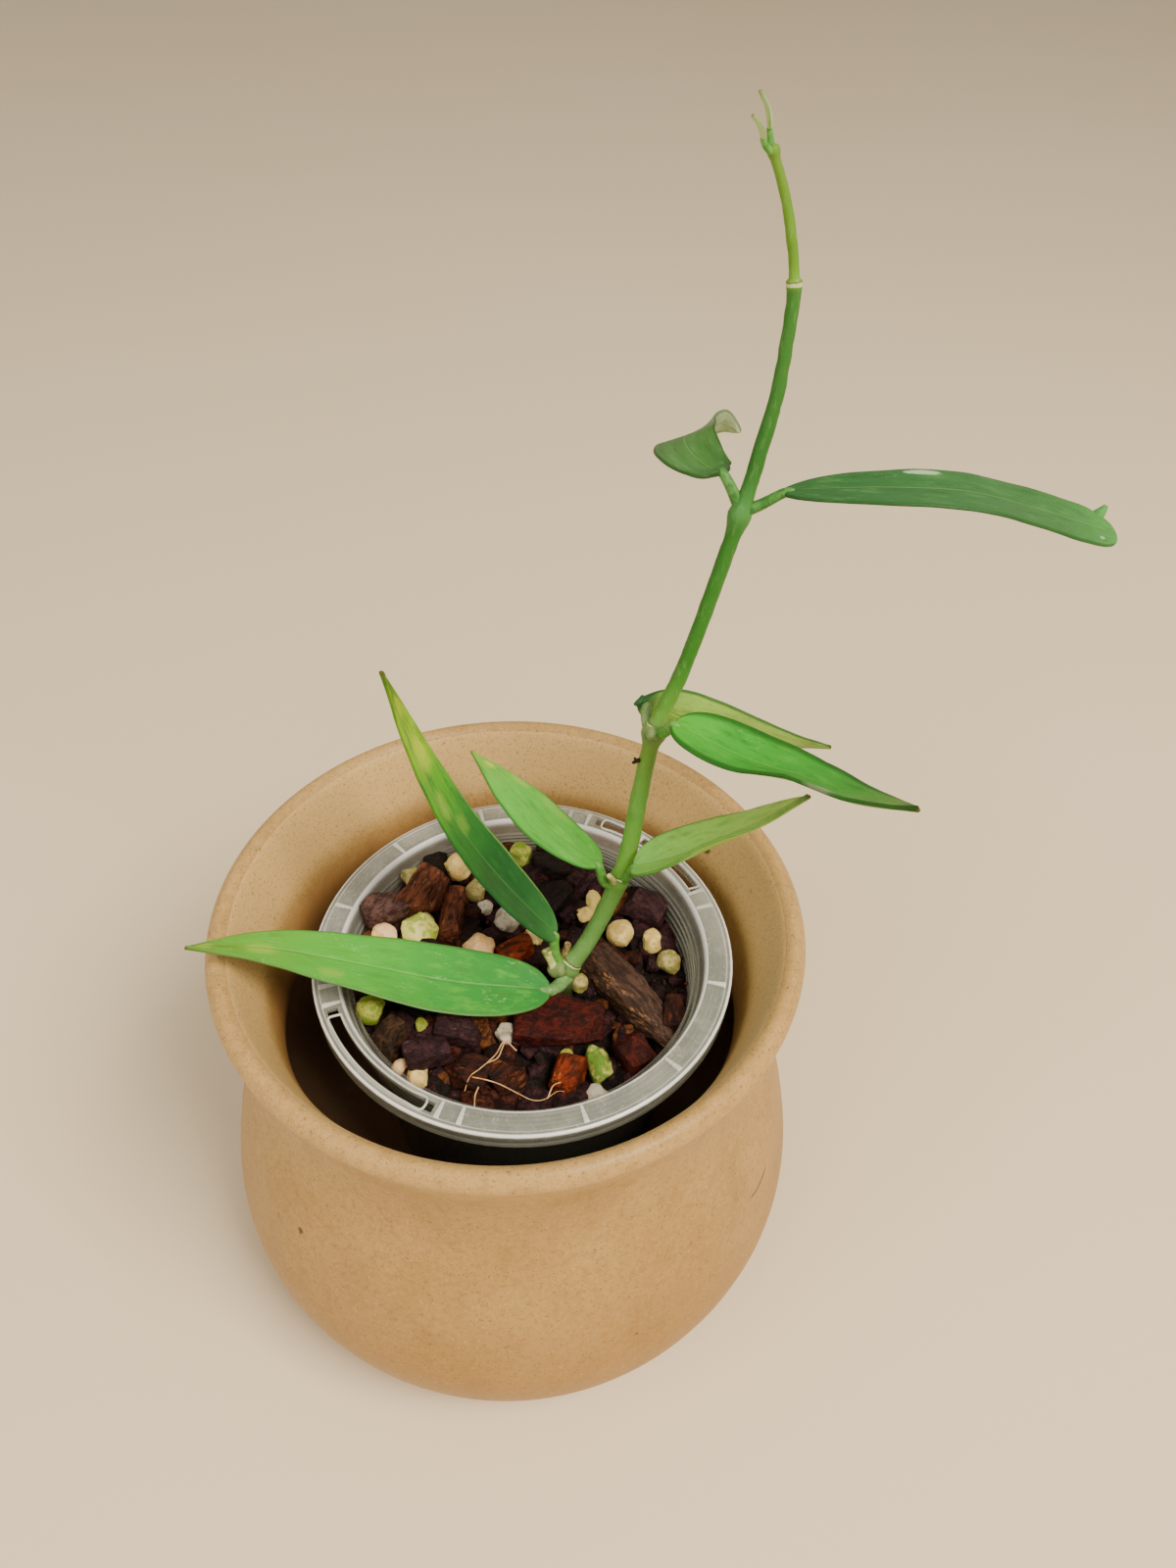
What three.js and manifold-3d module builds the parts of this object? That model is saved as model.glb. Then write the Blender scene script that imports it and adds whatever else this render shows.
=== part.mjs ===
// Potted hoya burmanica: one climbing cutting in a clear growing pot, stood in a flared stoneware pot.
// Millimetres, +Z up. The origin is the middle of the stoneware pot's foot; the plant leans to +X.

import * as THREE from 'three';
import { mergeVertices } from 'three/addons/utils/BufferGeometryUtils.js';
import Module from 'manifold-3d';

// Stoneware pot
const RIM_RADIUS = 62;
const POT_HEIGHT = 107;
const POT_WALL = 5.5;
const POT_FLOOR = 7;
const BELLY_RADIUS = 67.5;
const BELLY_HEIGHT = 26;
const NECK_RADIUS = 55.5;
const NECK_HEIGHT = 80;
const FOOT_RADIUS = 48;
const POT_SIDES = 48;

// Clear growing pot, standing a little off the middle
const LINER_X = 2.9;
const LINER_Y = -0.6;
const FLANGE_RADIUS = 45;
const FLANGE_TOP = 94.4;
const FLANGE_BORE = 38.3;
const LINER_WALL = 1;
const LINER_FOOT_RADIUS = 30;
const LINER_SIDES = 40;
const SLOT_RADIUS = 42;
const SLOT_WIDTH = 2.2;
const SLOT_STARTS = [-159, 21];
const SLOT_SPAN = 41;
const DRAIN_RADIUS = 3;
const DRAIN_CIRCLE = 19;
const DRAIN_COUNT = 8;

// Bark and pumice mix, heaped against the flange at the left and the back
const MIX_TOP = 86.5;
const MIX_FALL = -0.09;
const MIX_RISE = 0.06;
const MIX_BUMP = 0.9;
const MIX_SIDES = 34;

// The gap that keeps two touching pieces apart
const GAP = 0.3;

const degrees = (angle) => (angle * Math.PI) / 180;
const wasm = await Module();
wasm.setup();

// Solids

function toSolid(geometry) {
  const bare = new THREE.BufferGeometry();
  bare.setAttribute('position', geometry.getAttribute('position').clone());
  bare.setIndex(geometry.getIndex());
  const merged = mergeVertices(bare, 1e-4);
  const vertProperties = new Float32Array(merged.getAttribute('position').array);
  const corners = merged.getIndex().array;
  const kept = [];
  for (let i = 0; i < corners.length; i += 3) {
    const [a, b, c] = [corners[i], corners[i + 1], corners[i + 2]];
    if (a !== b && b !== c && c !== a) kept.push(a, b, c);
  }
  let triVerts = new Uint32Array(kept);
  if (signedVolume(vertProperties, triVerts) < 0) triVerts = triVerts.reverse();
  return new wasm.Manifold(new wasm.Mesh({ numProp: 3, vertProperties, triVerts }));
}

function signedVolume(points, corners) {
  const [a, b, c] = [new THREE.Vector3(), new THREE.Vector3(), new THREE.Vector3()];
  let volume = 0;
  for (let i = 0; i < corners.length; i += 3) {
    a.fromArray(points, corners[i] * 3);
    b.fromArray(points, corners[i + 1] * 3);
    c.fromArray(points, corners[i + 2] * 3);
    volume += a.dot(b.cross(c)) / 6;
  }
  return volume;
}

function toGeometry(solid) {
  const mesh = solid.getMesh();
  const geometry = new THREE.BufferGeometry();
  geometry.setAttribute('position', new THREE.BufferAttribute(new Float32Array(mesh.vertProperties), 3));
  geometry.setIndex(new THREE.BufferAttribute(new Uint32Array(mesh.triVerts), 1));
  geometry.computeVertexNormals();
  return geometry;
}

function largestBody(solid) {
  const bodies = solid.decompose();
  return bodies.reduce((best, body) => (body.volume() > best.volume() ? body : best));
}

function cutBy(solid, tools) {
  return largestBody(tools.reduce((rest, tool) => rest.subtract(tool), solid));
}

// A seeded draw from 0 to 1
function dice(seed) {
  let state = seed * 2654435761;
  return () => {
    state = (state + 0x6d2b79f5) | 0;
    let mixed = Math.imul(state ^ (state >>> 15), 1 | state);
    mixed = (mixed + Math.imul(mixed ^ (mixed >>> 7), 61 | mixed)) ^ mixed;
    return ((mixed ^ (mixed >>> 14)) >>> 0) / 4294967296;
  };
}

// A smooth line through the given [radius, height] points
function flowing(points, steps) {
  const curve = new THREE.SplineCurve(points.map(([r, z]) => new THREE.Vector2(r, z)));
  return curve.getPoints(steps);
}

function turned(profile, sides) {
  return new THREE.LatheGeometry(profile, sides).rotateX(Math.PI / 2);
}

// A skin over rings of points, closed at both ends by flat caps
function skin(rings) {
  const around = rings[0].length;
  const positions = rings.flat().flatMap((p) => [p.x, p.y, p.z]);
  const corners = [];
  for (let j = 0; j + 1 < rings.length; j += 1) {
    for (let i = 0; i < around; i += 1) {
      const next = (i + 1) % around;
      const [a, b] = [j * around + i, j * around + next];
      const [c, d] = [a + around, b + around];
      // Both faces of a blade are split along the same diagonal
      if (i < around / 2) corners.push(a, b, d, a, d, c);
      else corners.push(a, b, c, b, d, c);
    }
  }
  const last = (rings.length - 1) * around;
  for (let i = 0; i + 1 < around / 2; i += 1) {
    const [low, high] = [i, around - 1 - i];
    corners.push(low, high - 1, low + 1, low, high, high - 1);
    corners.push(last + low, last + low + 1, last + high - 1, last + low, last + high - 1, last + high);
  }
  const geometry = new THREE.BufferGeometry();
  geometry.setAttribute('position', new THREE.BufferAttribute(new Float32Array(positions), 3));
  geometry.setIndex(corners);
  return geometry;
}

// Stoneware pot: round belly, pinched neck, wide trumpet mouth with a rolled lip

function outerPot() {
  const outside = flowing([
    [FOOT_RADIUS, 0], [57, 3.6], [63.5, 11.5], [BELLY_RADIUS, BELLY_HEIGHT], [66.3, 39], [62.4, 56],
    [57.6, 69], [NECK_RADIUS, NECK_HEIGHT], [56.4, 90], [59.3, 99], [RIM_RADIUS - 0.4, 102.6],
  ], 16);
  const lip = flowing([
    [RIM_RADIUS - 0.4, 102.6], [RIM_RADIUS, 104.6], [RIM_RADIUS - 1.2, 106.5],
    [RIM_RADIUS - 3, POT_HEIGHT], [RIM_RADIUS - 4.8, 105.6],
  ], 5);
  const inside = flowing([
    [RIM_RADIUS - 4.8, 105.6], [54.6, 99], [51.8, 90.5], [NECK_RADIUS - POT_WALL, NECK_HEIGHT],
    [51.2, 71], [56.4, 57], [60.6, 39], [BELLY_RADIUS - POT_WALL, BELLY_HEIGHT], [58, 13],
    [51, POT_FLOOR + 0.6], [44, POT_FLOOR],
  ], 13);
  const profile = [
    new THREE.Vector2(0, 0), ...outside, ...lip.slice(1), ...inside.slice(1),
    new THREE.Vector2(0, POT_FLOOR),
  ];
  return toSolid(turned(profile, POT_SIDES));
}

// Clear growing pot: thin tapered wall, ridges under a flat flange, two hanger slots, drain holes

const LINER_FOOT = POT_FLOOR + GAP;

function linerInside(z) {
  const taper = (FLANGE_BORE - LINER_FOOT_RADIUS) / (FLANGE_TOP - LINER_FOOT);
  return LINER_FOOT_RADIUS - LINER_WALL + (z - LINER_FOOT) * taper;
}

function innerPot() {
  const outside = [[LINER_FOOT_RADIUS - 1.5, LINER_FOOT], [LINER_FOOT_RADIUS, LINER_FOOT + 1.5]];
  const inside = [];
  for (const z of [30, 55, 76]) outside.push([linerInside(z) + LINER_WALL, z]);
  // Ridges in the wall just below the flange
  for (let z = 79; z < 90; z += 4) {
    outside.push([linerInside(z) + LINER_WALL, z], [linerInside(z) + LINER_WALL + 0.5, z + 2]);
    inside.push([linerInside(z), z], [linerInside(z) + 0.5, z + 2]);
  }
  const flange = [
    [FLANGE_BORE + 1, FLANGE_TOP - 2.6], [FLANGE_BORE + 2.4, FLANGE_TOP - 1.1],
    [FLANGE_RADIUS - 1, FLANGE_TOP - 1.1], [FLANGE_RADIUS - 1, FLANGE_TOP - 4],
    [FLANGE_RADIUS, FLANGE_TOP - 4],
    [FLANGE_RADIUS, FLANGE_TOP - 0.4], [FLANGE_RADIUS - 0.5, FLANGE_TOP],
    [FLANGE_BORE + 2, FLANGE_TOP], [FLANGE_BORE, FLANGE_TOP - 2],
  ];
  inside.reverse();
  const heel = LINER_FOOT + 2.5;
  inside.push([linerInside(heel), heel], [LINER_FOOT_RADIUS - 3, LINER_FOOT + LINER_WALL]);
  const line = [[0, LINER_FOOT], ...outside, ...flange, ...inside, [0, LINER_FOOT + LINER_WALL]];
  let pot = toSolid(turned(line.map(([r, z]) => new THREE.Vector2(r, z)), LINER_SIDES));
  for (const start of SLOT_STARTS) pot = pot.subtract(toSolid(slotCutter(start)));
  for (let i = 0; i <= DRAIN_COUNT; i += 1) {
    const angle = (i / DRAIN_COUNT) * 2 * Math.PI;
    const hole = new THREE.CylinderGeometry(DRAIN_RADIUS, DRAIN_RADIUS, 4, 10).rotateX(Math.PI / 2);
    const away = i === DRAIN_COUNT ? 0 : DRAIN_CIRCLE;
    hole.translate(away * Math.cos(angle), away * Math.sin(angle), LINER_FOOT);
    pot = pot.subtract(toSolid(hole));
  }
  return pot.translate([LINER_X, LINER_Y, 0]);
}

function slotCutter(start) {
  const shape = new THREE.Shape();
  const [from, to] = [degrees(start), degrees(start + SLOT_SPAN)];
  shape.absarc(0, 0, SLOT_RADIUS + SLOT_WIDTH / 2, from, to, false);
  shape.absarc(0, 0, SLOT_RADIUS - SLOT_WIDTH / 2, to, from, true);
  const cutter = new THREE.ExtrudeGeometry(shape, { depth: 4, bevelEnabled: false, curveSegments: 10 });
  return cutter.translate(0, 0, FLANGE_TOP - 2.5);
}

// Stem: one grown piece, from the root end in the mix to the growing tip

// Points of the stem's middle line, with the radius there
const STEM = [
  [9, -7.6, 66, 2.2], [10.4, -6, 79, 2.2], [12.3, -3, 89.5, 2.2], [15.3, -1.5, 94, 1.95],
  [18.1, 0, 98.9, 1.88],
  [22.7, 2, 111.1, 1.88], [24.9, 3.4, 120.9, 1.84], [26.2, 5, 131.3, 1.72], [28.9, 8, 148, 1.6],
  [32.9, 10, 158.6, 1.46], [36.5, 12, 170.3, 1.4], [42.1, 16, 190.5, 1.38], [44.4, 17.6, 200.5, 1.32],
  [46.3, 19.2, 210.1, 1.18], [47.1, 20.8, 219, 1.1], [47.2, 22, 226.8, 1.12], [45.1, 23.4, 236.7, 0.8],
  [41.7, 24, 245.2, 0.74],
];
const STEM_SIDES = 10;

// Swellings on it: which point, how far past it, extra radius and half length
const SWELLINGS = [
  [2, 0.6, 0.35, 1.1], [5, 0.8, 0.35, 1.4], [8, -0.6, 0.9, 1.8], [11, -1, 0.7, 2.2], [15, 0, 0.25, 0.6],
  [17, -0.6, 0.3, 0.8],
];

const stemLine = new THREE.CatmullRomCurve3(
  STEM.map(([x, y, z]) => new THREE.Vector3(x, y, z)), false, 'catmullrom', 0.5,
);

function stemRadius(along, swellingsAt) {
  const place = Math.min(along, 0.9999) * (STEM.length - 1);
  const [i, part] = [Math.floor(place), place % 1];
  const smooth = THREE.MathUtils.lerp(STEM[i][3], STEM[i + 1][3], part);
  const here = stemLine.getPoint(along);
  const extra = swellingsAt.reduce((sum, [middle, height, reach]) => (
    sum + height * Math.exp(-((here.distanceTo(middle) / reach) ** 2))), 0);
  return smooth + extra;
}

function stemSolid(grow) {
  const last = STEM.length - 1;
  const swellingsAt = SWELLINGS.map(([i, past, height, reach]) => {
    const t = i / last;
    return [stemLine.getPoint(t).addScaledVector(stemLine.getTangent(t), past), height, reach];
  });
  const stations = new Set();
  for (let j = 0; j <= last * 1.5; j += 1) stations.add(j / (last * 1.5));
  for (const [i] of SWELLINGS) {
    for (const step of [-0.3, -0.12, 0.12, 0.3]) stations.add(Math.min(1, (i + step) / last));
  }
  const rings = [...stations].sort((a, b) => a - b).map((t) => {
    const middle = stemLine.getPoint(t);
    const forward = stemLine.getTangent(t);
    const across = new THREE.Vector3(0, 1, 0).cross(forward).normalize();
    const up = forward.clone().cross(across);
    const radius = stemRadius(t, swellingsAt) + grow;
    return Array.from({ length: STEM_SIDES }, (_, k) => {
      const angle = ((k + 0.5) / STEM_SIDES) * 2 * Math.PI;
      return middle.clone().addScaledVector(across, -radius * Math.cos(angle))
        .addScaledVector(up, radius * Math.sin(angle));
    });
  });
  return toSolid(skin(rings));
}

// Short side growths: from, to, radius at each end. Two old cut stubs, two axillary buds.
const SIDE_GROWTHS = [
  [[11.4, -3.6, 91], [8.2, -5, 97.4], 1.3, 1.55],
  [[13, -2.8, 91.6], [12.4, -2.8, 96.2], 1.1, 1.2],
  [[22.2, 1, 112.4], [20.4, -0.4, 116.6], 0.9, 0.5],
  [[28.6, 6.6, 148.6], [27.6, 4.9, 150.4], 1.1, 0.7],
];

function peg([from, to, startRadius, endRadius], grow) {
  const [a, b] = [new THREE.Vector3(...from), new THREE.Vector3(...to)];
  const along = b.clone().sub(a);
  const shaft = new THREE.CylinderGeometry(endRadius + grow, startRadius + grow, along.length() + grow, 9);
  const turn = new THREE.Quaternion().setFromUnitVectors(new THREE.Vector3(0, 1, 0), along.normalize());
  const middle = a.lerp(b, 0.5);
  return toSolid(shaft.applyQuaternion(turn).translate(middle.x, middle.y, middle.z));
}

function stem(grow = 0) {
  return SIDE_GROWTHS.reduce((whole, growth) => whole.add(peg(growth, grow)), stemSolid(grow));
}

// Leaves: a short round petiole that opens into a channelled, pointed blade

// Each leaf's petiole and midrib points, blade width, fold of each half and turns about the midrib.
// outline is how fast the blade widens from its base and narrows to its tip.
const LEAVES = [
  {
    petiole: [[12, -4, 88.4], [10, -6.8, 88.8]], petioleRadius: 1.5,
    midrib: [
      [8, -9, 90.2], [-12, -9, 94.3], [-30.6, -8.4, 100.7], [-47.9, -9.2, 108.1], [-62.3, -13.3, 114.9],
    ],
    width: 16.9, fold: 10, roll: [-12, 3, 3], outline: [0.42, 0.95], colour: 0x4f9b42,
  },
  {
    petiole: [[12, -3, 91], [10.6, -2.9, 95]], petioleRadius: 1.2,
    midrib: [
      [10, -2, 100], [-0.6, 0.4, 113.3], [-9.6, 3.5, 127.9], [-16.3, 6.6, 144.5], [-21.6, 9.7, 162.7],
    ],
    width: 14.1, fold: 25, roll: [2, 9, 11], outline: [0.42, 0.95], colour: 0x3c7f2c,
  },
  {
    petiole: [[22.4, 2, 110.6], [19.9, 1.7, 112.4]], petioleRadius: 1.1,
    midrib: [
      [18.6, 2, 116.8], [9.8, 10.4, 118.3], [3.3, 20.6, 118.3], [-2.1, 31.4, 116.4], [-7.4, 42.6, 112.9],
    ],
    width: 11.9, fold: 6, roll: [9, 10, 23], outline: [0.42, 0.95], colour: 0x59a445,
  },
  {
    petiole: [[22.6, 2, 111.4], [24.4, 0.6, 114.8]], petioleRadius: 1.1,
    midrib: [
      [25.3, -2, 120.2], [33.2, -5.5, 126.6], [40.2, -8.9, 134.5], [46.7, -12.9, 143.2],
      [53.2, -15.7, 152.4],
    ],
    width: 12.5, fold: 27, roll: [8, -8, 2], outline: [0.42, 0.95], colour: 0x69a84c,
  },
  {
    petiole: [[28.9, 8, 147.6], [30.2, 4.6, 150.4]], petioleRadius: 1.1,
    midrib: [
      [31.3, 2, 154.4], [42.7, -6.6, 153.1], [51.7, -15.1, 155.7], [58, -25.5, 160.5], [63.5, -36.1, 168.7],
    ],
    width: 14.1, fold: 21, roll: [9, -18, -4], outline: [0.42, 0.95], colour: 0x3f9a3c,
  },
  {
    petiole: [[28.9, 8, 147.6], [26.6, 11.8, 147.4]], petioleRadius: 1.1,
    midrib: [[28.5, 14, 149], [38, 19, 141], [48.5, 23.5, 133], [60, 28, 126], [73.5, 32.5, 120]],
    width: 13, fold: 13, roll: [-76, -66, -59], outline: [0.42, 0.95], colour: 0x7ba854,
  },
  {
    petiole: [[42.1, 16, 190.1], [45.2, 15.2, 192]], petioleRadius: 1,
    midrib: [
      [48.7, 14, 194.9], [64, 10.6, 197], [78.4, 10, 196.3], [90.6, 10.6, 192.8], [100, 10.8, 189.7],
      [104.7, 11.2, 189], [104.2, 12, 192.4],
    ],
    width: 12.8, fold: 7, roll: [4, 0, 15], outline: [0.42, 0.5], colour: 0x35803a,
  },
  {
    petiole: [[42.1, 16, 190.1], [40.2, 17, 194]], petioleRadius: 1,
    midrib: [
      [38.6, 18.3, 196.4], [36.5, 20.4, 195.8], [34.1, 25.2, 196.1], [34.1, 31.1, 195.8], [37.6, 36, 194.8],
      [41.9, 38.7, 195.4], [45.2, 37.4, 194.1],
    ],
    width: 12, fold: 3, roll: [10, 7, -21, -62, -81], outline: [0.36, 0.75], colour: 0x3d7d3e,
  },
];
const YOUNG_LEAVES = [
  {
    petiole: [[41.7, 24.5, 245], [41.4, 24.8, 246.2]], petioleRadius: 0.5,
    midrib: [[41.1, 24.9, 247.4], [40.4, 25.1, 250], [39.1, 25.3, 253.2]],
    width: 1.9, fold: 30, roll: [0, 0, 0], outline: [0.4, 0.9], colour: 0x8aa75a,
  },
  {
    petiole: [[41.3, 23.4, 244.8], [40.4, 22.8, 245.7]], petioleRadius: 0.5,
    midrib: [[39.8, 22.5, 246.7], [38.9, 22.4, 248.6], [37.9, 22.3, 250.8]],
    width: 1.7, fold: 30, roll: [0, 0, 0], outline: [0.4, 0.9], colour: 0x8aa75a,
  },
];
const BLADE_THICKNESS = 1.1;
const EDGE_THICKNESS = 0.62;
const WAVE_HEIGHT = 0.25;
const WAVE_REACH = 2.4;
const HALF_RING = 7;
const BLADE_STATIONS = [
  0, 0.012, 0.045, 0.1, 0.18, 0.28, 0.38, 0.48, 0.58, 0.68, 0.77, 0.86, 0.93, 0.985,
];
const YOUNG_STATIONS = [0, 0.1, 0.3, 0.6, 0.85, 0.98];

// Two directions across a leaf at a point of its middle line: to its right side and out of its face
function leafFrame(line, t, roll) {
  const forward = line.getTangent(t);
  const face = new THREE.Vector3(0, 0, 1).addScaledVector(forward, -forward.z).normalize();
  face.applyAxisAngle(forward, degrees(roll));
  return { middle: line.getPoint(t), side: forward.clone().cross(face), face };
}

function rollAt(rolls, t) {
  const place = Math.min(t, 0.9999) * (rolls.length - 1);
  const i = Math.floor(place);
  return THREE.MathUtils.lerp(rolls[i], rolls[i + 1], place - i);
}

// Half the blade's width along it, as a share of the widest half
function outlineShare([rise, fall], t) {
  const widest = rise / (rise + fall);
  return (t ** rise * (1 - t) ** fall) / (widest ** rise * (1 - widest) ** fall);
}

function leaf(spec, index, stations = BLADE_STATIONS) {
  const points = spec.midrib.map((p) => new THREE.Vector3(...p));
  const blade = new THREE.CatmullRomCurve3(points, false, 'catmullrom', 0.5);
  const stalk = new THREE.CatmullRomCurve3(
    [...spec.petiole.map((p) => new THREE.Vector3(...p)), points[0]], false, 'catmullrom', 0.5,
  );
  const length = blade.getLength();
  const rings = [];
  const upper = Array.from({ length: HALF_RING }, (_, i) => Math.PI * (1 - (i + 0.5) / HALF_RING));
  for (const t of [0, 0.35, 0.8]) {
    const { middle, side, face } = leafFrame(stalk, t, spec.roll[0]);
    rings.push([...upper, ...upper.map((angle) => -angle).reverse()].map((angle) => middle.clone()
      .addScaledVector(side, spec.petioleRadius * Math.cos(angle))
      .addScaledVector(face, spec.petioleRadius * Math.sin(angle))));
  }
  for (const t of stations) {
    const { middle, side, face } = leafFrame(blade, t, rollAt(spec.roll, t));
    const least = spec.petioleRadius * (1 - t) + 0.25;
    const half = Math.max((spec.width / 2) * outlineShare(spec.outline, t), least);
    const lift = Math.tan(degrees(spec.fold));
    const point = (share, sign) => {
      const flat = Math.abs(share);
      const thick = THREE.MathUtils.lerp(BLADE_THICKNESS, EDGE_THICKNESS, flat ** 1.5) * (1 - 0.35 * t);
      const wave = Math.sin((t * length) / WAVE_REACH + index * 1.7 + share);
      const ripple = WAVE_HEIGHT * flat ** 3 * wave * Math.min(1, half / 4);
      const channel = half * lift * (Math.sqrt(share * share + 0.03) - 0.17);
      return middle.clone().addScaledVector(side, share * half)
        .addScaledVector(face, channel + ripple + (sign * Math.max(thick, 0.6)) / 2);
    };
    const shares = upper.map((_, i) => -1 + (2 * i) / (HALF_RING - 1));
    rings.push([...shares.map((s) => point(s, 1)), ...shares.reverse().map((s) => point(s, -1))]);
  }
  return toSolid(skin(rings));
}

// Pumice and bark on top of the mix

// Pumice: x, y, width, depth, height, colour
const [CREAM, OLIVE, MOSSY, GREY] = [0xd9c79a, 0x9a8f5b, 0xa9b95f, 0xb3ab9c];
const PUMICE = [
  [-21.5, 23.5, 7.2, 6.6, 6.4, OLIVE], [-11.5, 27, 6.8, 7, 6.4, CREAM], [-7.5, 21.5, 6.8, 6, 5.4, OLIVE],
  [3.5, 32.8, 7.2, 6.2, 6.2, MOSSY], [-20, 9, 10, 8, 7.6, MOSSY], [-28, 7.5, 6.2, 5.4, 5.8, CREAM],
  [-7, 5, 8, 6.8, 7.4, CREAM], [-0.5, 13, 6.6, 6.6, 5.8, GREY], [-5.5, 15.5, 3.8, 4, 3.6, GREY],
  [5, 8, 6, 5, 4.6, OLIVE], [19.5, 18.5, 3.4, 6, 4.6, CREAM], [17.5, 15, 5, 3.6, 3.8, CREAM],
  [25, 9, 6.8, 6.6, 6.2, CREAM], [32, 7, 6.8, 5, 5.4, CREAM], [35.6, 2, 5.4, 5.8, 5.6, OLIVE],
  [14.5, -4.5, 4.4, 4.6, 4.4, MOSSY], [-29.6, -12, 5.4, 7.6, 6.2, MOSSY], [-19, -15, 3.6, 3, 3.2, MOSSY],
  [-1.5, -16.5, 5.4, 4.6, 4.4, GREY], [11, -21, 3, 2.8, 2.8, MOSSY], [17, -25, 6.4, 10, 7, MOSSY],
  [16.5, -31.2, 7, 4.6, 4.4, CREAM], [-22.8, -24, 3.6, 3.8, 3.6, CREAM], [-19.4, -27.2, 6, 4.6, 4.4, CREAM],
];

// Bark: x, y, length, width, height, turn in degrees, tint
const [PURPLE, RUST, UMBER, BLACK] = [0x4a3436, 0x7a3a22, 0x4b3326, 0x241a18];
const BARK = [
  [-28.4, 13.8, 9, 7.6, 6.6, 30, PURPLE], [-19.5, 18.2, 12, 8, 7.6, 70, RUST],
  [-12.8, 14, 12.4, 5.8, 5.6, 84, UMBER], [1.2, 3, 7.2, 5.4, 5.4, 20, RUST],
  [26, -7.5, 28.5, 6.4, 6.8, -56, UMBER], [10, -14.6, 15, 8, 6, -8, RUST],
  [10.6, -26.6, 8, 5.6, 6.4, 60, RUST], [-18, -22, 8, 6.2, 5.6, 20, PURPLE],
  [-25.4, -18, 7, 6, 5.8, 50, UMBER], [-11.4, -17, 8.4, 5.4, 5, -15, UMBER],
  [-9.6, -26.4, 8.8, 6.6, 5.6, -20, RUST], [-1.8, -27, 7, 6.4, 5.8, 35, UMBER],
  [31, 15.6, 9, 5.8, 5.8, -30, PURPLE], [25.2, -21.8, 7, 6, 5.6, -60, RUST],
  [-16.6, 27, 5, 5.6, 4.6, 10, BLACK], [10, 28.5, 6.6, 7.6, 5.2, 15, BLACK],
  [9.4, 19, 8, 8, 4.8, 50, BLACK], [34.2, -14, 7.6, 4.4, 5.4, 80, UMBER],
];

// Set a lump down at x, y with part of it below the surface of the mix
function setDown(geometry, x, y, high, turn) {
  return toSolid(geometry.rotateZ(degrees(turn)).translate(x, y, mixSurface(x, y) + high * 0.22));
}

// An uneven round stone; its room is a coarser one that holds it with the gap
function stone([x, y, long, wide, high], turn, seed, grow, detail = 1) {
  const geometry = mergeVertices(stripped(new THREE.IcosahedronGeometry(1, detail)));
  const place = geometry.getAttribute('position');
  const draw = dice(seed);
  const halfSize = new THREE.Vector3(long / 2 + grow, wide / 2 + grow, high / 2 + grow);
  const point = new THREE.Vector3();
  for (let i = 0; i < place.count; i += 1) {
    point.fromBufferAttribute(place, i);
    const reach = detail ? 0.84 + 0.2 * draw() : 1.3;
    point.multiply(halfSize).multiplyScalar(reach);
    place.setXYZ(i, point.x, point.y, point.z);
  }
  return setDown(geometry, x, y, high, turn);
}

// A split length of bark with uneven edges and blunt ends
function barkPiece([x, y, long, wide, high, turn], seed, grow) {
  const geometry = mergeVertices(stripped(new THREE.BoxGeometry(1, 1, 1, 3, 1, 1)));
  const place = geometry.getAttribute('position');
  const draw = dice(seed);
  const point = new THREE.Vector3();
  for (let i = 0; i < place.count; i += 1) {
    point.fromBufferAttribute(place, i);
    const blunt = 1 - 0.28 * Math.abs(point.x) * 2 * draw();
    point.set(
      point.x * (long * (0.84 + 0.16 * draw()) + 2 * grow),
      point.y * (wide * blunt * (0.84 + 0.2 * draw()) + 2 * grow),
      point.z * (high * blunt * (0.8 + 0.2 * draw()) + 2 * grow),
    );
    place.setXYZ(i, point.x, point.y, point.z);
  }
  return setDown(geometry, x, y, high, turn);
}

function stripped(geometry) {
  geometry.deleteAttribute('normal');
  geometry.deleteAttribute('uv');
  return geometry;
}

function mixSurface(x, y) {
  const roll = Math.sin(x * 0.31 + 0.6) * Math.cos(y * 0.27 - 0.4) + 0.6 * Math.sin(x * 0.83 - y * 0.71);
  return MIX_TOP + MIX_FALL * x + MIX_RISE * y + MIX_BUMP * roll;
}

// The body of the mix: it fills the clear pot up to an uneven, sloping top
function mixCore() {
  const wallAt = (z) => linerInside(z) - GAP;
  const [low, shoulder] = [LINER_FOOT + LINER_WALL + GAP, MIX_TOP - 7];
  const edge = wallAt(shoulder) - 0.6;
  const sides = [
    [0.1, low], [LINER_FOOT_RADIUS - 4.5, low], [wallAt(low + 3), low + 3],
    [wallAt(shoulder) - 0.1, shoulder],
  ];
  const ring = (r, height) => Array.from({ length: MIX_SIDES }, (_, k) => {
    const angle = (k / MIX_SIDES) * 2 * Math.PI;
    const [x, y] = [LINER_X + r * Math.cos(angle), LINER_Y + r * Math.sin(angle)];
    return new THREE.Vector3(x, y, height(x, y));
  });
  return toSolid(skin([
    ...sides.map(([r, z]) => ring(r, () => z)),
    ring(edge, (x, y) => mixSurface(x, y) - 1),
    ...[0.88, 0.75, 0.61, 0.46, 0.3, 0.14].map((share) => ring(edge * share, mixSurface)),
  ]));
}

// Placing every piece

const group = new THREE.Group();

function place(name, solid, colour, roughness, extra = {}) {
  const material = new THREE.MeshStandardMaterial({ color: colour, roughness, metalness: 0, ...extra });
  const mesh = new THREE.Mesh(toGeometry(solid), material);
  mesh.name = name;
  group.add(mesh);
}

const stemClearance = stem(GAP);
place('outer_pot', outerPot(), 0xa98a5f, 0.45);
place('inner_pot', innerPot(), 0xdfe3e4, 0.2, { transparent: true, opacity: 0.5 });
place('stem', stem(), 0x5f8f3d, 0.5);

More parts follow.
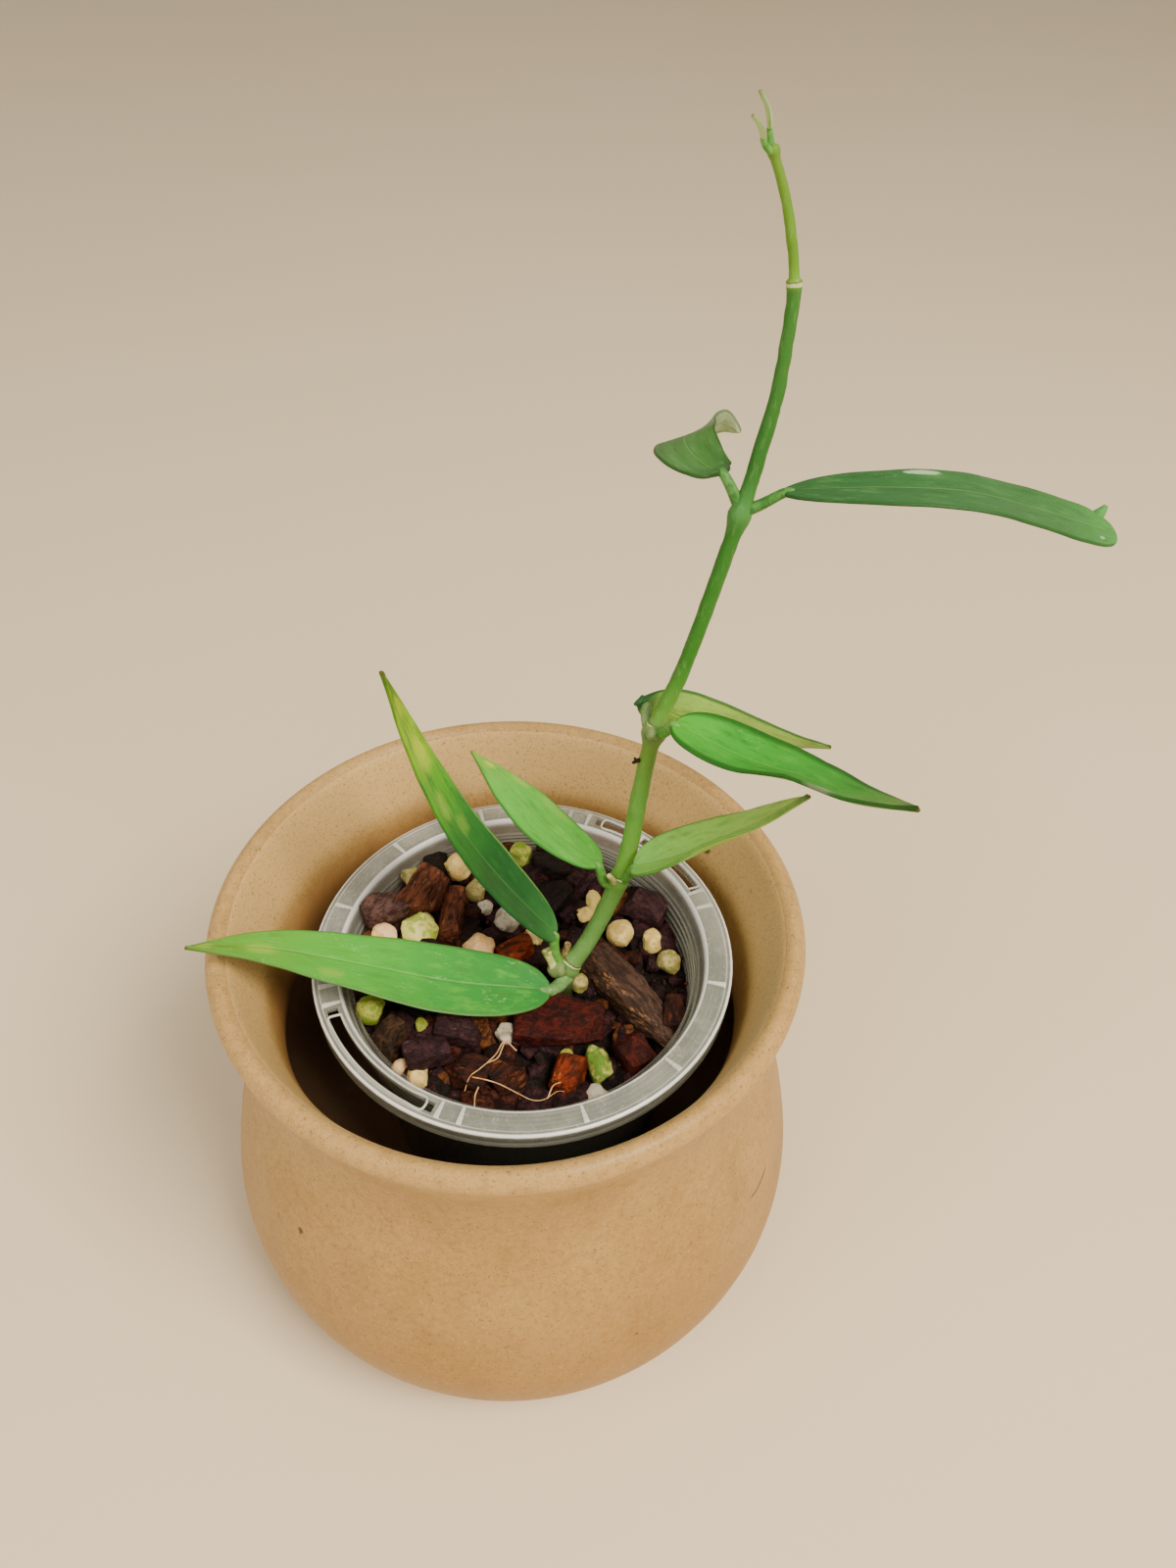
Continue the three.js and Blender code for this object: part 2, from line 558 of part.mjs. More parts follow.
const leaves = LEAVES.map((spec, i) => cutBy(leaf(spec, i), [stemClearance]));
leaves.forEach((solid, i) => place(`leaf_${i + 1}`, solid, LEAVES[i].colour, 0.4));
YOUNG_LEAVES.forEach((spec, i) => {
  place(`young_leaf_${i + 1}`, cutBy(leaf(spec, i, YOUNG_STATIONS), [stemClearance]), spec.colour, 0.5);
});

// Each lump is set down in turn, bedded against those already there and seated in the mix
const settled = [stemClearance];
let mix = mixCore().subtract(stemClearance);
const withinWall = [
  [0, 60], [linerInside(60) - GAP, 60], [linerInside(92) - GAP, 92], [FLANGE_BORE - GAP, 110], [0, 110],
].map(([r, z]) => new THREE.Vector2(r, z));
const inliner = toSolid(turned(withinWall, LINER_SIDES)).translate([LINER_X, LINER_Y, 0]);

function settle(name, solid, room, pocket, colour) {
  place(name, cutBy(solid.intersect(inliner), settled), colour, 0.9);
  settled.push(room);
  mix = mix.subtract(pocket);
}

PUMICE.forEach((spec, i) => {
  const made = (grow, detail) => stone(spec, i * 37, 100 + i, grow, detail);
  settle(`pumice_${i + 1}`, made(0), made(GAP), made(GAP, 0), spec[5]);
});
BARK.forEach((spec, i) => {
  const made = (grow) => barkPiece(spec, 200 + i, grow);
  settle(`bark_${i + 1}`, made(0), made(GAP), made(GAP), spec[6]);
});
place('potting_mix', largestBody(mix), 0x2b1f1a, 0.95);

export default group;
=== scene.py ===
"""A young potted hoya burmanica: stoneware pot, clear growing pot, bark mix, stem and eight leaves."""
import logging
import math
import random
from contextlib import contextmanager
from dataclasses import dataclass, field
from enum import Enum
from typing import Any, Callable, Iterator, Sequence

import bmesh
import bpy
from mathutils import Euler, Matrix, Vector


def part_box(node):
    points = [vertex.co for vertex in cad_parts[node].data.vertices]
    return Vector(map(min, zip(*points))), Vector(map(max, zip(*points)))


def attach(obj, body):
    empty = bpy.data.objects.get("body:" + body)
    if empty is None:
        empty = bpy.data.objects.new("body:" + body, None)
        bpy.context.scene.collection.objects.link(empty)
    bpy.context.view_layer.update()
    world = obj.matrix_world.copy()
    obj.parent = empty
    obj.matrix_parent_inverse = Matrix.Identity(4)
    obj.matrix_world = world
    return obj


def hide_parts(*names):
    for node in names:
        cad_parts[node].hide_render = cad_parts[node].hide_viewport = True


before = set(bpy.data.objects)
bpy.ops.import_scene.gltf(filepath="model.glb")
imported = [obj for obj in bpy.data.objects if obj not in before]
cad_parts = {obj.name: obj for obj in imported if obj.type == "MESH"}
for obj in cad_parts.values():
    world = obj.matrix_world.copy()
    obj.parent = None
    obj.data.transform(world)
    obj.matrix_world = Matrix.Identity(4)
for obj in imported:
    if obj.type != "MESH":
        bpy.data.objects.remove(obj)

LOG = logging.getLogger("hoya")
MM = 0.001
SAME = 2e-5
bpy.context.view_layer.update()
BODY = "root"
INNER_AXIS = (2.9, -0.6)
FOOT_HEIGHT = 7.3
FOOT_RADIUS = 30.0
WALL = 1.0
TAPER = 8.3 / 87.1

Pair = tuple[float, float]
Point = tuple[float, float, float]
Stops = tuple[tuple[float, str], ...]
Piece = bpy.types.Object


def mm(*values: float) -> Vector:
    """Turn a place in millimetres into metres."""
    return Vector(values) * MM


def placed(places: Sequence[Point]) -> list[Vector]:
    """Turn places in millimetres into metres."""
    return [mm(*place) for place in places]


def tint(code: str) -> tuple[float, float, float, float]:
    """Turn a screen colour such as #c59c66 into Blender's linear colour."""
    parts = [int(code[at:at + 2], 16) / 255 for at in (1, 3, 5)]
    red, green, blue = (((p + 0.055) / 1.055) ** 2.4 if p > 0.04045 else p / 12.92 for p in parts)
    return (red, green, blue, 1.0)


# Working by hand: selecting, editing and finishing a piece.

def activate(piece: Piece) -> None:
    """Select one piece alone and make it the active one."""
    if bpy.context.object is not None and bpy.context.object.mode != "OBJECT":
        bpy.ops.object.mode_set(mode="OBJECT")
    bpy.ops.object.select_all(action="DESELECT")
    piece.select_set(True)
    bpy.context.view_layer.objects.active = piece


@contextmanager
def editing(piece: Piece, everything: bool = False) -> Iterator[None]:
    """Open a piece in edit mode, and close it afterwards.

    Args:
        piece: The piece.
        everything: Whether all of it is selected, and not nothing.
    """
    activate(piece)
    bpy.ops.object.mode_set(mode="EDIT")
    bpy.ops.mesh.select_mode(type="VERT")
    bpy.ops.mesh.select_all(action="DESELECT")
    if everything:
        bpy.ops.mesh.select_all(action="SELECT")
    yield
    bpy.ops.object.mode_set(mode="OBJECT")


def pick(piece: Piece, test: Callable[[Vector], bool]) -> None:
    """Select the vertices of the open piece whose place passes the test, and what lies between them."""
    mesh = bmesh.from_edit_mesh(piece.data)
    for vert in mesh.verts:
        vert.select = test(vert.co)
    mesh.select_flush_mode()
    bmesh.update_edit_mesh(piece.data)


def pick_faces(piece: Piece, test: Callable[[Vector, Vector], bool]) -> None:
    """Select the faces of the open piece whose middle and normal pass the test."""
    bpy.ops.mesh.select_all(action="DESELECT")
    mesh = bmesh.from_edit_mesh(piece.data)
    for face in mesh.faces:
        if test(face.calc_center_median(), face.normal):
            face.select_set(True)
    bmesh.update_edit_mesh(piece.data)


def apply_modifiers(piece: Piece) -> None:
    """Apply every modifier of a piece in its order."""
    activate(piece)
    for modifier in list(piece.modifiers):
        bpy.ops.object.modifier_apply(modifier=modifier.name)


def subdivide(piece: Piece, levels: int = 1, simple: bool = False) -> None:
    """Give a piece a subdivision surface.

    Args:
        piece: The piece to refine.
        levels: How often each face is divided.
        simple: Whether the faces are divided without being rounded.
    """
    modifier = piece.modifiers.new("subdivision", "SUBSURF")
    modifier.levels = modifier.render_levels = levels
    modifier.subdivision_type = "SIMPLE" if simple else "CATMULL_CLARK"


def roughen(piece: Piece, size: float, depth: float, group: str = "") -> None:
    """Displace a piece's surface by a procedural texture.

    Args:
        piece: The piece to roughen.
        size: The grain of the texture in mm.
        depth: The whole height of the relief in mm.
        group: A vertex group that limits it.
    """
    texture = bpy.data.textures.new(f"{piece.name}_relief", type="CLOUDS")
    texture.noise_scale = size * MM
    modifier = piece.modifiers.new("relief", "DISPLACE")
    modifier.texture = texture
    modifier.texture_coords = "LOCAL"
    modifier.strength = depth * MM
    modifier.mid_level = 0.5
    modifier.vertex_group = group


def block(cuts: int, roundness: float) -> Piece:
    """Model a block of two units' size that is cut up and slightly rounded.

    Args:
        cuts: The cuts across each side.
        roundness: How far it is drawn towards a ball.

    Returns:
        The block.
    """
    bpy.ops.mesh.primitive_cube_add(size=2, location=(0, 0, 0))
    piece = bpy.context.object
    with editing(piece, True):
        bpy.ops.mesh.subdivide(number_cuts=cuts)
        bpy.ops.transform.tosphere(value=roundness)
    return piece


def hew(piece: Piece, chance: random.Random, cuts: int, near: float, far: float) -> None:
    """Cut flats off a piece of two units' size by random planes about its middle.

    Args:
        piece: The piece, at the origin.
        chance: The seeded chance.
        cuts: The number of flats.
        near: The least distance of a flat from the middle.
        far: The greatest.
    """
    with editing(piece):
        for _ in range(cuts):
            way = Vector((chance.gauss(0, 1), chance.gauss(0, 1), chance.gauss(0, 1))).normalized()
            bpy.ops.mesh.select_all(action="SELECT")
            bpy.ops.mesh.bisect(plane_co=way * chance.uniform(near, far), plane_no=way, use_fill=True,
                                clear_outer=True)
        bpy.ops.mesh.select_all(action="SELECT")
        bpy.ops.mesh.remove_doubles(threshold=0.02)
        bpy.ops.mesh.normals_make_consistent(inside=False)


def own_place(piece: Piece) -> None:
    """Put a piece's place, turn and scale into its mesh."""
    activate(piece)
    bpy.ops.object.transform_apply(location=True, rotation=True, scale=True)


def joined(pieces: Sequence[Piece]) -> Piece:
    """Join pieces into the first of them."""
    activate(pieces[0])
    for piece in pieces:
        piece.select_set(True)
    if len(pieces) > 1:
        bpy.ops.object.join()
    return pieces[0]


def copied(piece: Piece, matrix: Matrix) -> Piece:
    """Copy a piece with a mesh of its own and set the copy down by a matrix."""
    copy = piece.copy()
    copy.data = piece.data.copy()
    bpy.context.scene.collection.objects.link(copy)
    copy.matrix_world = matrix
    return copy


def hand_over(piece: Piece, name: str, crease: float, materials: Sequence[bpy.types.Material] = (),
              replaces: Sequence[str] = ()) -> None:
    """Name, dress and attach a finished piece, and report it.

    Args:
        piece: The modelled piece.
        name: Its name in the part.
        crease: The angle in degrees past which an edge stays sharp.
        materials: Its materials, in the order of its slots; empty where it has them already.
        replaces: The CAD nodes that it stands for.
    """
    own_place(piece)
    piece.name = piece.data.name = name
    for material in materials:
        piece.data.materials.append(material)
    bpy.ops.object.shade_smooth_by_angle(angle=math.radians(crease))
    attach(piece, BODY)
    if replaces:
        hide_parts(*replaces)
    LOG.info("%s: %d triangles", name, sum(len(face.vertices) - 2 for face in piece.data.polygons))


# Smooth lines through given points.

def neighbours(points: Sequence[Vector], at: int) -> tuple[Vector, Vector]:
    """Give the points before and after one, carried on straight past the line's ends."""
    last = len(points) - 1
    before = points[at - 1] if at > 0 else 2 * points[0] - points[1]
    after = points[at + 1] if at < last else 2 * points[last] - points[last - 1]
    return before, after


def flow(points: Sequence[Vector], t: float) -> Vector:
    """Give the place at a share of a smooth line through points.

    Args:
        points: The points that the line passes.
        t: The share along it, counted by points.

    Returns:
        The place on the line.
    """
    span = min(max(t, 0.0), 0.999999) * (len(points) - 1)
    at, u = int(span), span - int(span)
    before, after = neighbours(points, at)[0], neighbours(points, at + 1)[1]
    first, second = (points[at + 1] - before) / 2, (after - points[at]) / 2
    return ((2 * u ** 3 - 3 * u ** 2 + 1) * points[at] + (u ** 3 - 2 * u ** 2 + u) * first
            + (3 * u ** 2 - 2 * u ** 3) * points[at + 1] + (u ** 3 - u ** 2) * second)


def lengths_along(points: Sequence[Vector], shares: Sequence[float], steps: int = 600) -> list[float]:
    """Measure how far along the line each share lies.

    Args:
        points: The points that the line passes.
        shares: Shares along it, in rising order.
        steps: How finely it is measured.

    Returns:
        The length of line up to each share.
    """
    places = [flow(points, step / steps) for step in range(steps + 1)]
    travelled = [0.0]
    for one, other in zip(places, places[1:]):
        travelled.append(travelled[-1] + (other - one).length)
    found = []
    for share in shares:
        at = min(share, 1.0) * steps
        low = min(int(at), steps - 1)
        found.append(travelled[low] + (travelled[low + 1] - travelled[low]) * (at - low))
    return found


def spread(values: Sequence[float], t: float) -> float:
    """Read a list of values at a share between its ends."""
    at = min(max(t, 0.0), 0.9999) * (len(values) - 1)
    return values[int(at)] + (values[int(at) + 1] - values[int(at)]) * (at - int(at))


def spine(points: Sequence[Vector], rolls: Sequence[float] = (0.0, 0.0)) -> Piece:
    """Lay a smooth curve through points, turned about itself by the rolls.

    Args:
        points: The points that the curve passes.
        rolls: Its turns in degrees, at equal shares of the points.

    Returns:
        The curve object, at the origin.
    """
    bpy.ops.curve.primitive_bezier_curve_add(location=(0, 0, 0))
    curve = bpy.context.object
    curve.data.twist_mode = "Z_UP"
    curve.data.resolution_u = 48
    knots = curve.data.splines[0].bezier_points
    knots.add(len(points) - 2)
    for at, knot in enumerate(knots):
        before, after = neighbours(points, at)
        reach = (after - before) / 6
        knot.handle_left_type = knot.handle_right_type = "FREE"
        knot.co, knot.handle_left, knot.handle_right = points[at], points[at] - reach, points[at] + reach
        knot.tilt = math.radians(spread(rolls, at / (len(points) - 1)))
    return curve


def bent(piece: Piece, points: Sequence[Vector], rolls: Sequence[float] = (0.0, 0.0)) -> None:
    """Bend a piece that was modelled straight along X onto a smooth line, modifiers first.

    Args:
        piece: The straight piece.
        points: The points that the line passes.
        rolls: The line's turns in degrees.
    """
    curve = spine(points, rolls)
    modifier = piece.modifiers.new("bend", "CURVE")
    modifier.object = curve
    modifier.deform_axis = "POS_X"
    apply_modifiers(piece)
    bpy.data.objects.remove(curve)


def round_line(points: Sequence[Vector], radii: Sequence[float], sides: int = 3) -> Piece:
    """Model a closed round tube along a smooth line.

    Args:
        points: The points that the tube's middle passes.
        radii: Its radius in mm at each point.
        sides: The bevel's fineness.

    Returns:
        The tube as a mesh object.
    """
    curve = spine(points)
    curve.data.bevel_depth = MM
    curve.data.bevel_resolution = sides
    curve.data.use_fill_caps = True
    curve.data.resolution_u = 6
    for knot, radius in zip(curve.data.splines[0].bezier_points, radii):
        knot.radius = radius
    activate(curve)
    bpy.ops.object.convert(target="MESH")
    piece = bpy.context.object
    with editing(piece, True):
        bpy.ops.mesh.remove_doubles(threshold=0.00001)
        bpy.ops.mesh.normals_make_consistent(inside=False)
    return piece


def turned(rings: Sequence[Pair], sides: int, centre: Pair = (0, 0)) -> Piece:
    """Model a closed round shape ring by ring, from a circle that is extruded and resized.

    Args:
        rings: Radius and height in mm of each ring, in order along the surface.
        sides: The number of sides.
        centre: The axis's place in mm.

    Returns:
        The piece, with its normals outwards.
    """
    middle = mm(*centre, 0)
    radius, height = rings[0]
    bpy.ops.mesh.primitive_circle_add(vertices=sides, radius=radius * MM, location=(0, 0, 0))
    piece = bpy.context.object
    with editing(piece, True):
        bpy.ops.transform.translate(value=mm(*centre, height))
        for wide, high in rings[1:]:
            bpy.ops.mesh.extrude_edges_move(TRANSFORM_OT_translate={"value": (0, 0, (high - height) * MM)})
            bpy.ops.transform.resize(value=(wide / radius, wide / radius, 1), center_override=middle)
            radius, height = wide, high
        for wide, high in (rings[-1], rings[0]):
            pick(piece, lambda place, wide=wide, high=high: abs(place.z - high * MM) < SAME
                 and abs(math.hypot(place.x - middle.x, place.y - middle.y) - wide * MM) < SAME)
            bpy.ops.mesh.extrude_edges_move()
            bpy.ops.transform.resize(value=(0.4, 0.4, 1), center_override=middle)
            bpy.ops.mesh.extrude_edges_move()
            bpy.ops.mesh.merge(type="CENTER")
        bpy.ops.mesh.select_all(action="SELECT")
        bpy.ops.mesh.normals_make_consistent(inside=False)
    return piece


def eased(points: Sequence[Pair], parts: int) -> list[Pair]:
    """Round a profile by smooth points between its given ones.

    Args:
        points: Radius and height of each set point.
        parts: How many steps lie between two of them.

    Returns:
        The finer profile.
    """
    line = [Vector((x, z, 0)) for x, z in points]
    steps = parts * (len(line) - 1)
    places = [flow(line, step / steps) for step in range(steps)]
    return [(place.x, place.y) for place in places] + [points[-1]]


# Finishes.

class Value:
    """An output of a material's node, with the usual sums."""

    def __init__(self, recipe: "Recipe", socket: bpy.types.NodeSocket) -> None:
        """Hold one output of a recipe."""
        self.recipe, self.socket = recipe, socket

    def __add__(self, other: "Fed") -> "Value":
        """Add a value."""
        return self.recipe.calc("ADD", self, other)

    def __sub__(self, other: "Fed") -> "Value":
        """Take a value off."""
        return self.recipe.calc("SUBTRACT", self, other)

    def __mul__(self, other: "Fed") -> "Value":
        """Multiply by a value."""
        return self.recipe.calc("MULTIPLY", self, other)

    def __truediv__(self, other: "Fed") -> "Value":
        """Divide by a value."""
        return self.recipe.calc("DIVIDE", self, other)

    def __abs__(self) -> "Value":
        """Drop the sign."""
        return self.recipe.calc("ABSOLUTE", self)


Fed = Value | float | str | Sequence[float]


class Recipe:
    """One procedural material, built node by node towards its shader."""

    def __init__(self, name: str, **sockets: float) -> None:
        """Start a material.

        Args:
            name: The material's name.
            **sockets: The shader's constant sockets, with _ for a space.
        """
        self.material = bpy.data.materials.new(name)
        self.material.use_nodes = True
        self.nodes = self.material.node_tree.nodes
        self.shader = self.nodes["Principled BSDF"]
        for socket, value in sockets.items():
            self.shader.inputs[socket.replace("_", " ")].default_value = value
        self.place = self.scaled(self.add("TexCoord", "Object"), (1000, 1000, 1000))
        self.height: Value | None = None

    def feed(self, socket: bpy.types.NodeSocket, value: Fed) -> None:
        """Link a value to a socket, or set it to a number or a colour code."""
        if isinstance(value, Value):
            self.material.node_tree.links.new(value.socket, socket)
        else:
            socket.default_value = tint(value) if isinstance(value, str) else value

    def add(self, kind: str, output: int | str = 0, inputs: dict[int | str, Fed] | None = None,
            **settings: Any) -> Value:
        """Add a node.

        Args:
            kind: Its type, without the prefix that all have.
            output: The output that is wanted.
            inputs: What its inputs are fed.
            **settings: Its properties.

        Returns:
            The output.
        """
        node = self.nodes.new("ShaderNode" + kind)
        for setting, value in settings.items():
            setattr(node, setting, value)
        for socket, value in (inputs or {}).items():
            self.feed(node.inputs[socket], value)
        return Value(self, node.outputs[output])

    def scaled(self, vector: Value, scale: Point) -> Value:
        """Stretch a pattern's coordinates."""
        return self.add("Mapping", inputs={"Vector": vector, "Scale": scale})

    def noise(self, size: float, detail: float = 3.0, rough: float = 0.5, stretch: Point = (1, 1, 1),
              where: Value | None = None, twist: float = 0.0) -> Value:
        """Add a noise pattern.

        Args:
            size: The grain in mm.
            detail: How many finer layers it has.
            rough: How strong they are.
            stretch: How each direction is packed.
            where: Coordinates in mm, the object's own if left out.
            twist: How much it is distorted.

        Returns:
            The pattern's value from 0 to 1.
        """
        return self.add("TexNoise", inputs={
            "Vector": self.scaled(where or self.place, stretch), "Scale": 1 / size, "Detail": detail,
            "Roughness": rough, "Distortion": twist})

    def cells(self, size: float) -> Value:
        """Add a cell pattern of a size in mm."""
        return self.add("TexVoronoi", "Distance", {"Vector": self.place, "Scale": 1 / size})

    def ramp(self, value: Value, stops: Stops) -> Value:
        """Colour a value by stops of place and colour."""
        colour = self.add("ValToRGB", inputs={0: value})
        band = colour.socket.node.color_ramp.elements
        while len(band) < len(stops):
            band.new(0.5)
        for element, (at, _) in zip(band, stops):
            element.position = at
        for element, (_, code) in zip(band, stops):
            element.color = tint(code)
        return colour

    def step(self, value: Value, low: float, high: float) -> Value:
        """Turn a value into a soft step from 0 at low to 1 at high."""
        return self.add("MapRange", "Result", {
            "Value": value, "From Min": min(low, high), "From Max": max(low, high),
            "To Min": float(low > high), "To Max": float(low < high)}, interpolation_type="SMOOTHSTEP")

    def calc(self, operation: str, first: Fed, second: Fed = 0.0) -> Value:
        """Add a sum of one or two values."""
        return self.add("Math", inputs={0: first, 1: second}, operation=operation)

    def blend(self, share: Fed, first: Fed, second: Fed) -> Value:
        """Mix two colours, each a hex code or a value."""
        return self.add("Mix", 2, {0: share, 6: first, 7: second}, data_type="RGBA")

    def mottle(self, colour: Fed, over: str, grain: Sequence[float], span: Pair, share: float,
               **more: Any) -> Value:
        """Lay a colour over another in patches of noise.

        Args:
            colour: The colour below.
            over: The patches' colour.
            grain: The noise's size in mm, detail and roughness.
            span: The noise's values at which the patches begin and are full.
            share: How strongly they cover.
            **more: The noise's other settings.

        Returns:
            The mixed colour.
        """
        return self.blend(self.step(self.noise(*grain, **more), *span) * share, colour, over)

    def axes(self, vector: Value) -> list[Value]:
        """Split coordinates into their three values."""
        node = self.add("SeparateXYZ", inputs={0: vector}).socket.node
        return [Value(self, output) for output in node.outputs]

    def relief(self, value: Value, depth: float) -> None:
        """Raise the surface by a value, to a depth in mm, over what relief it has."""
        inputs = {"Strength": 1.0, "Distance": depth * MM, "Height": value}
        if self.height is not None:
            inputs["Normal"] = self.height
        self.height = self.add("Bump", inputs=inputs)
        self.feed(self.shader.inputs["Normal"], self.height)

    def done(self, colour: Fed, roughness: Fed) -> bpy.types.Material:
        """Give the shader its colour and roughness, and hand the material out."""
        self.feed(self.shader.inputs["Base Color"], colour)
        self.feed(self.shader.inputs["Roughness"], roughness)
        return self.material


@dataclass(frozen=True)
class Glaze:
    """Satin tan stoneware glaze with fine brown speckle, painted lighter towards the rim as light and,
    inside, painted darker down the throat as shade.
    """

    name: str
    inside: bool = False
    marks: tuple[tuple[float, float, float, float], ...] = ()
    base: str = "#b08a4e"
    light: str = "#c09a5e"
    deep: str = "#8a6636"
    low: str = "#946524"
    # Lighter colour painted on the upper flare and lip as light.
    flare: str = "#dcb878"
    speck: str = "#5d3a17"
    dust: str = "#dcbc80"
    mark: str = "#3a2413"
    scratch: str = "#3f2814"
    scratch_at: Pair = (-34.5, 49.3)
    scratch_bow: float = 0.07
    # Painted shade inside the pot: the throat below the flare and the deeper well.
    throat_shade: str = "#946c3e"
    well_shade: str = "#8a6c52"

    def worn(self, made: Recipe, colour: Value) -> Value:
        """Wear the lip and scratch the belly.

        Args:
            made: The glaze's recipe.
            colour: Its colour so far.

        Returns:
            The worn colour.
        """
        x, y, high = made.axes(made.place)
        wear = (made.step(made.noise(3, 4, 0.7), 0.45, 0.65) + 0.5) * made.step(high, 99, 106) * 0.2
        colour = made.blend(wear, colour, self.deep)
        run = y - self.scratch_at[0]
        away = abs(high - self.scratch_at[1] - run * run * self.scratch_bow)
        line = made.step(away, 0.45, 0.2) * made.step(x, 40, 50) * made.step(abs(run), 4.0, 2.8)
        return made.blend(line * 0.9, colour, self.scratch)

    def material(self) -> bpy.types.Material:
        """Build the glaze."""
        made = Recipe(self.name, Coat_Weight=0.05, Coat_Roughness=0.3, Specular_IOR_Level=0.16)
        place = made.axes(made.place)
        high = place[2]
        cloud = made.noise(30, 5, 0.6)
        colour = made.blend(made.step(cloud, 0.3, 0.75), self.base, self.light)
        colour = made.mottle(colour, self.deep, (1.6, 5, 0.75), (0.42, 0.72), 0.5)
        colour = made.blend(made.step(high, 72, 5) * 0.7, colour, self.low)
        colour = made.mottle(colour, self.deep, (16, 6, 0.72), (0.48, 0.7), 0.35, stretch=(1, 1, 0.6))
        # Painted light: the glaze is drawn lighter towards the rim where light falls, strongly on the inner
        # flare and faintly outside.
        colour = made.blend(made.step(high, 88, 95) * (0.7 if self.inside else 0.3), colour, self.flare)
        if not self.inside:
            colour = self.worn(made, colour)
        colour = made.mottle(colour, self.deep, (0.5, 3, 0.75), (0.48, 0.68), 0.4)
        colour = made.mottle(colour, self.speck, (0.62, 2, 0.6), (0.61, 0.7), 0.55)
        colour = made.mottle(colour, self.speck, (1.5, 2, 0.5), (0.72, 0.77), 0.6)
        colour = made.mottle(colour, self.dust, (0.8, 2, 0.5), (0.62, 0.74), 0.3, stretch=(1.1, 1, 1))
        for *at, reach in self.marks:
            off = [abs(axis - spot) for axis, spot in zip(place, at)]
            spot = made.step(off[0] + (off[1] + off[2]), reach, reach * 0.5)
            colour = made.blend(spot * 0.85, colour, self.mark)
        # Painted shade: inside, the glaze darkens below the flare into the throat and the well.
        if self.inside:
            depth = high + made.noise(5, 2) * 4.0
            colour = made.blend(made.step(depth, 94.5, 84), colour, self.throat_shade)
            colour = made.blend(made.step(depth, 84, 68), colour, self.well_shade)
        made.relief(made.noise(1.4, 3, 0.55), 0.05)
        made.relief(made.noise(4.5, 2, 0.5, stretch=(0.25, 0.25, 1.2)), 0.12)
        return made.done(colour, cloud * 0.14 + 0.33)


@dataclass(frozen=True)
class ClearPlastic:
    """Milky clear plastic of the growing pot, with fine scuffs, painted highlight lines and ridge crests, and
    painted shade on its sunk wall.
    """

    name: str
    wall_alpha: float = 0.14
    flange_alpha: float = 0.5
    colour: str = "#9b9f93"
    # White of the painted highlight lines along the flange's rim, its inner lip and a ring between.
    rim: str = "#ffffff"
    cloudy: str = "#b9bbae"
    scuffed: str = "#d9dbd0"
    # Colour of the painted shade on the wall below the flange.
    sunk_shade: str = "#8d9183"
    # Colour of the painted highlights on the ridge crests.
    crest_glint: str = "#b9bcae"
    rim_radius: Pair = (44.35, 44.6)
    line_radius: float = 43.75
    lip_radius: Pair = (39.95, 39.6)

    def material(self) -> bpy.types.Material:
        """Build the plastic."""
        made = Recipe(self.name, Specular_IOR_Level=0.6, Coat_Weight=0.3, Coat_Roughness=0.12)
        x, y, high = made.axes(made.place)
        across, deep = x - INNER_AXIS[0], y - INNER_AXIS[1]
        out = made.calc("SQRT", across * across + deep * deep)
        flange = made.step(high, 92.4, 93.9)
        colour = made.blend(made.step(made.noise(9, 4, 0.6), 0.35, 0.65), self.colour, self.cloudy)
        colour = made.mottle(colour, self.scuffed, (2.2, 4, 0.7), (0.54, 0.66), 0.5, twist=1.5)
        # Painted highlights: white lines on the flange's outer rim, on a ring near it and on its inner lip.
        rim = made.step(out, *self.rim_radius) * made.step(high, 93.7, 94.1)
        line = made.step(abs(out - self.line_radius), 0.2, 0.06) * 0.45
        lip = made.step(out, *self.lip_radius) * flange * 0.8
        for mask in (rim, line, lip):
            colour = made.blend(mask, colour, self.rim)
        ridge = made.step(made.calc("SINE", high * math.pi), 0.2, 0.9)
        ridge = ridge * made.step(high, 77.5, 79.0) * made.step(high, 91.5, 90.0)
        # Painted shade: the wall darkens below the flange, where it sinks into the stoneware pot.
        colour = made.blend(made.step(high, 92.0, 84.0), colour, self.sunk_shade)
        # Painted highlights: the ridge crests are drawn lighter.
        colour = made.blend(ridge, colour, self.crest_glint)
        scuff = made.noise(0.8, 3, 0.7, stretch=(1, 5, 1), twist=0.6)
        made.relief(scuff, 0.04)
        made.relief(made.calc("SINE", out * 6.3) * flange, 0.03)
        # The flange is more solid than the wall; the painted highlight lines and ridge glints are drawn more
        # solid too.
        solid = flange * (self.flange_alpha - self.wall_alpha) + rim * 0.45
        solid = solid + made.calc("MAXIMUM", line, lip) * 0.4 + ridge * 0.22
        made.feed(made.shader.inputs["Alpha"], solid + self.wall_alpha)
        return made.done(colour, scuff * 0.2 + 0.16)


@dataclass(frozen=True)
class Patch:
    """A soft-edged mark on a blade: its middle and reach along and across it, colour and strength."""

    along: float
    across: float
    long: float
    wide: float
    colour: str
    strength: float = 0.8
    soft: float = 0.9


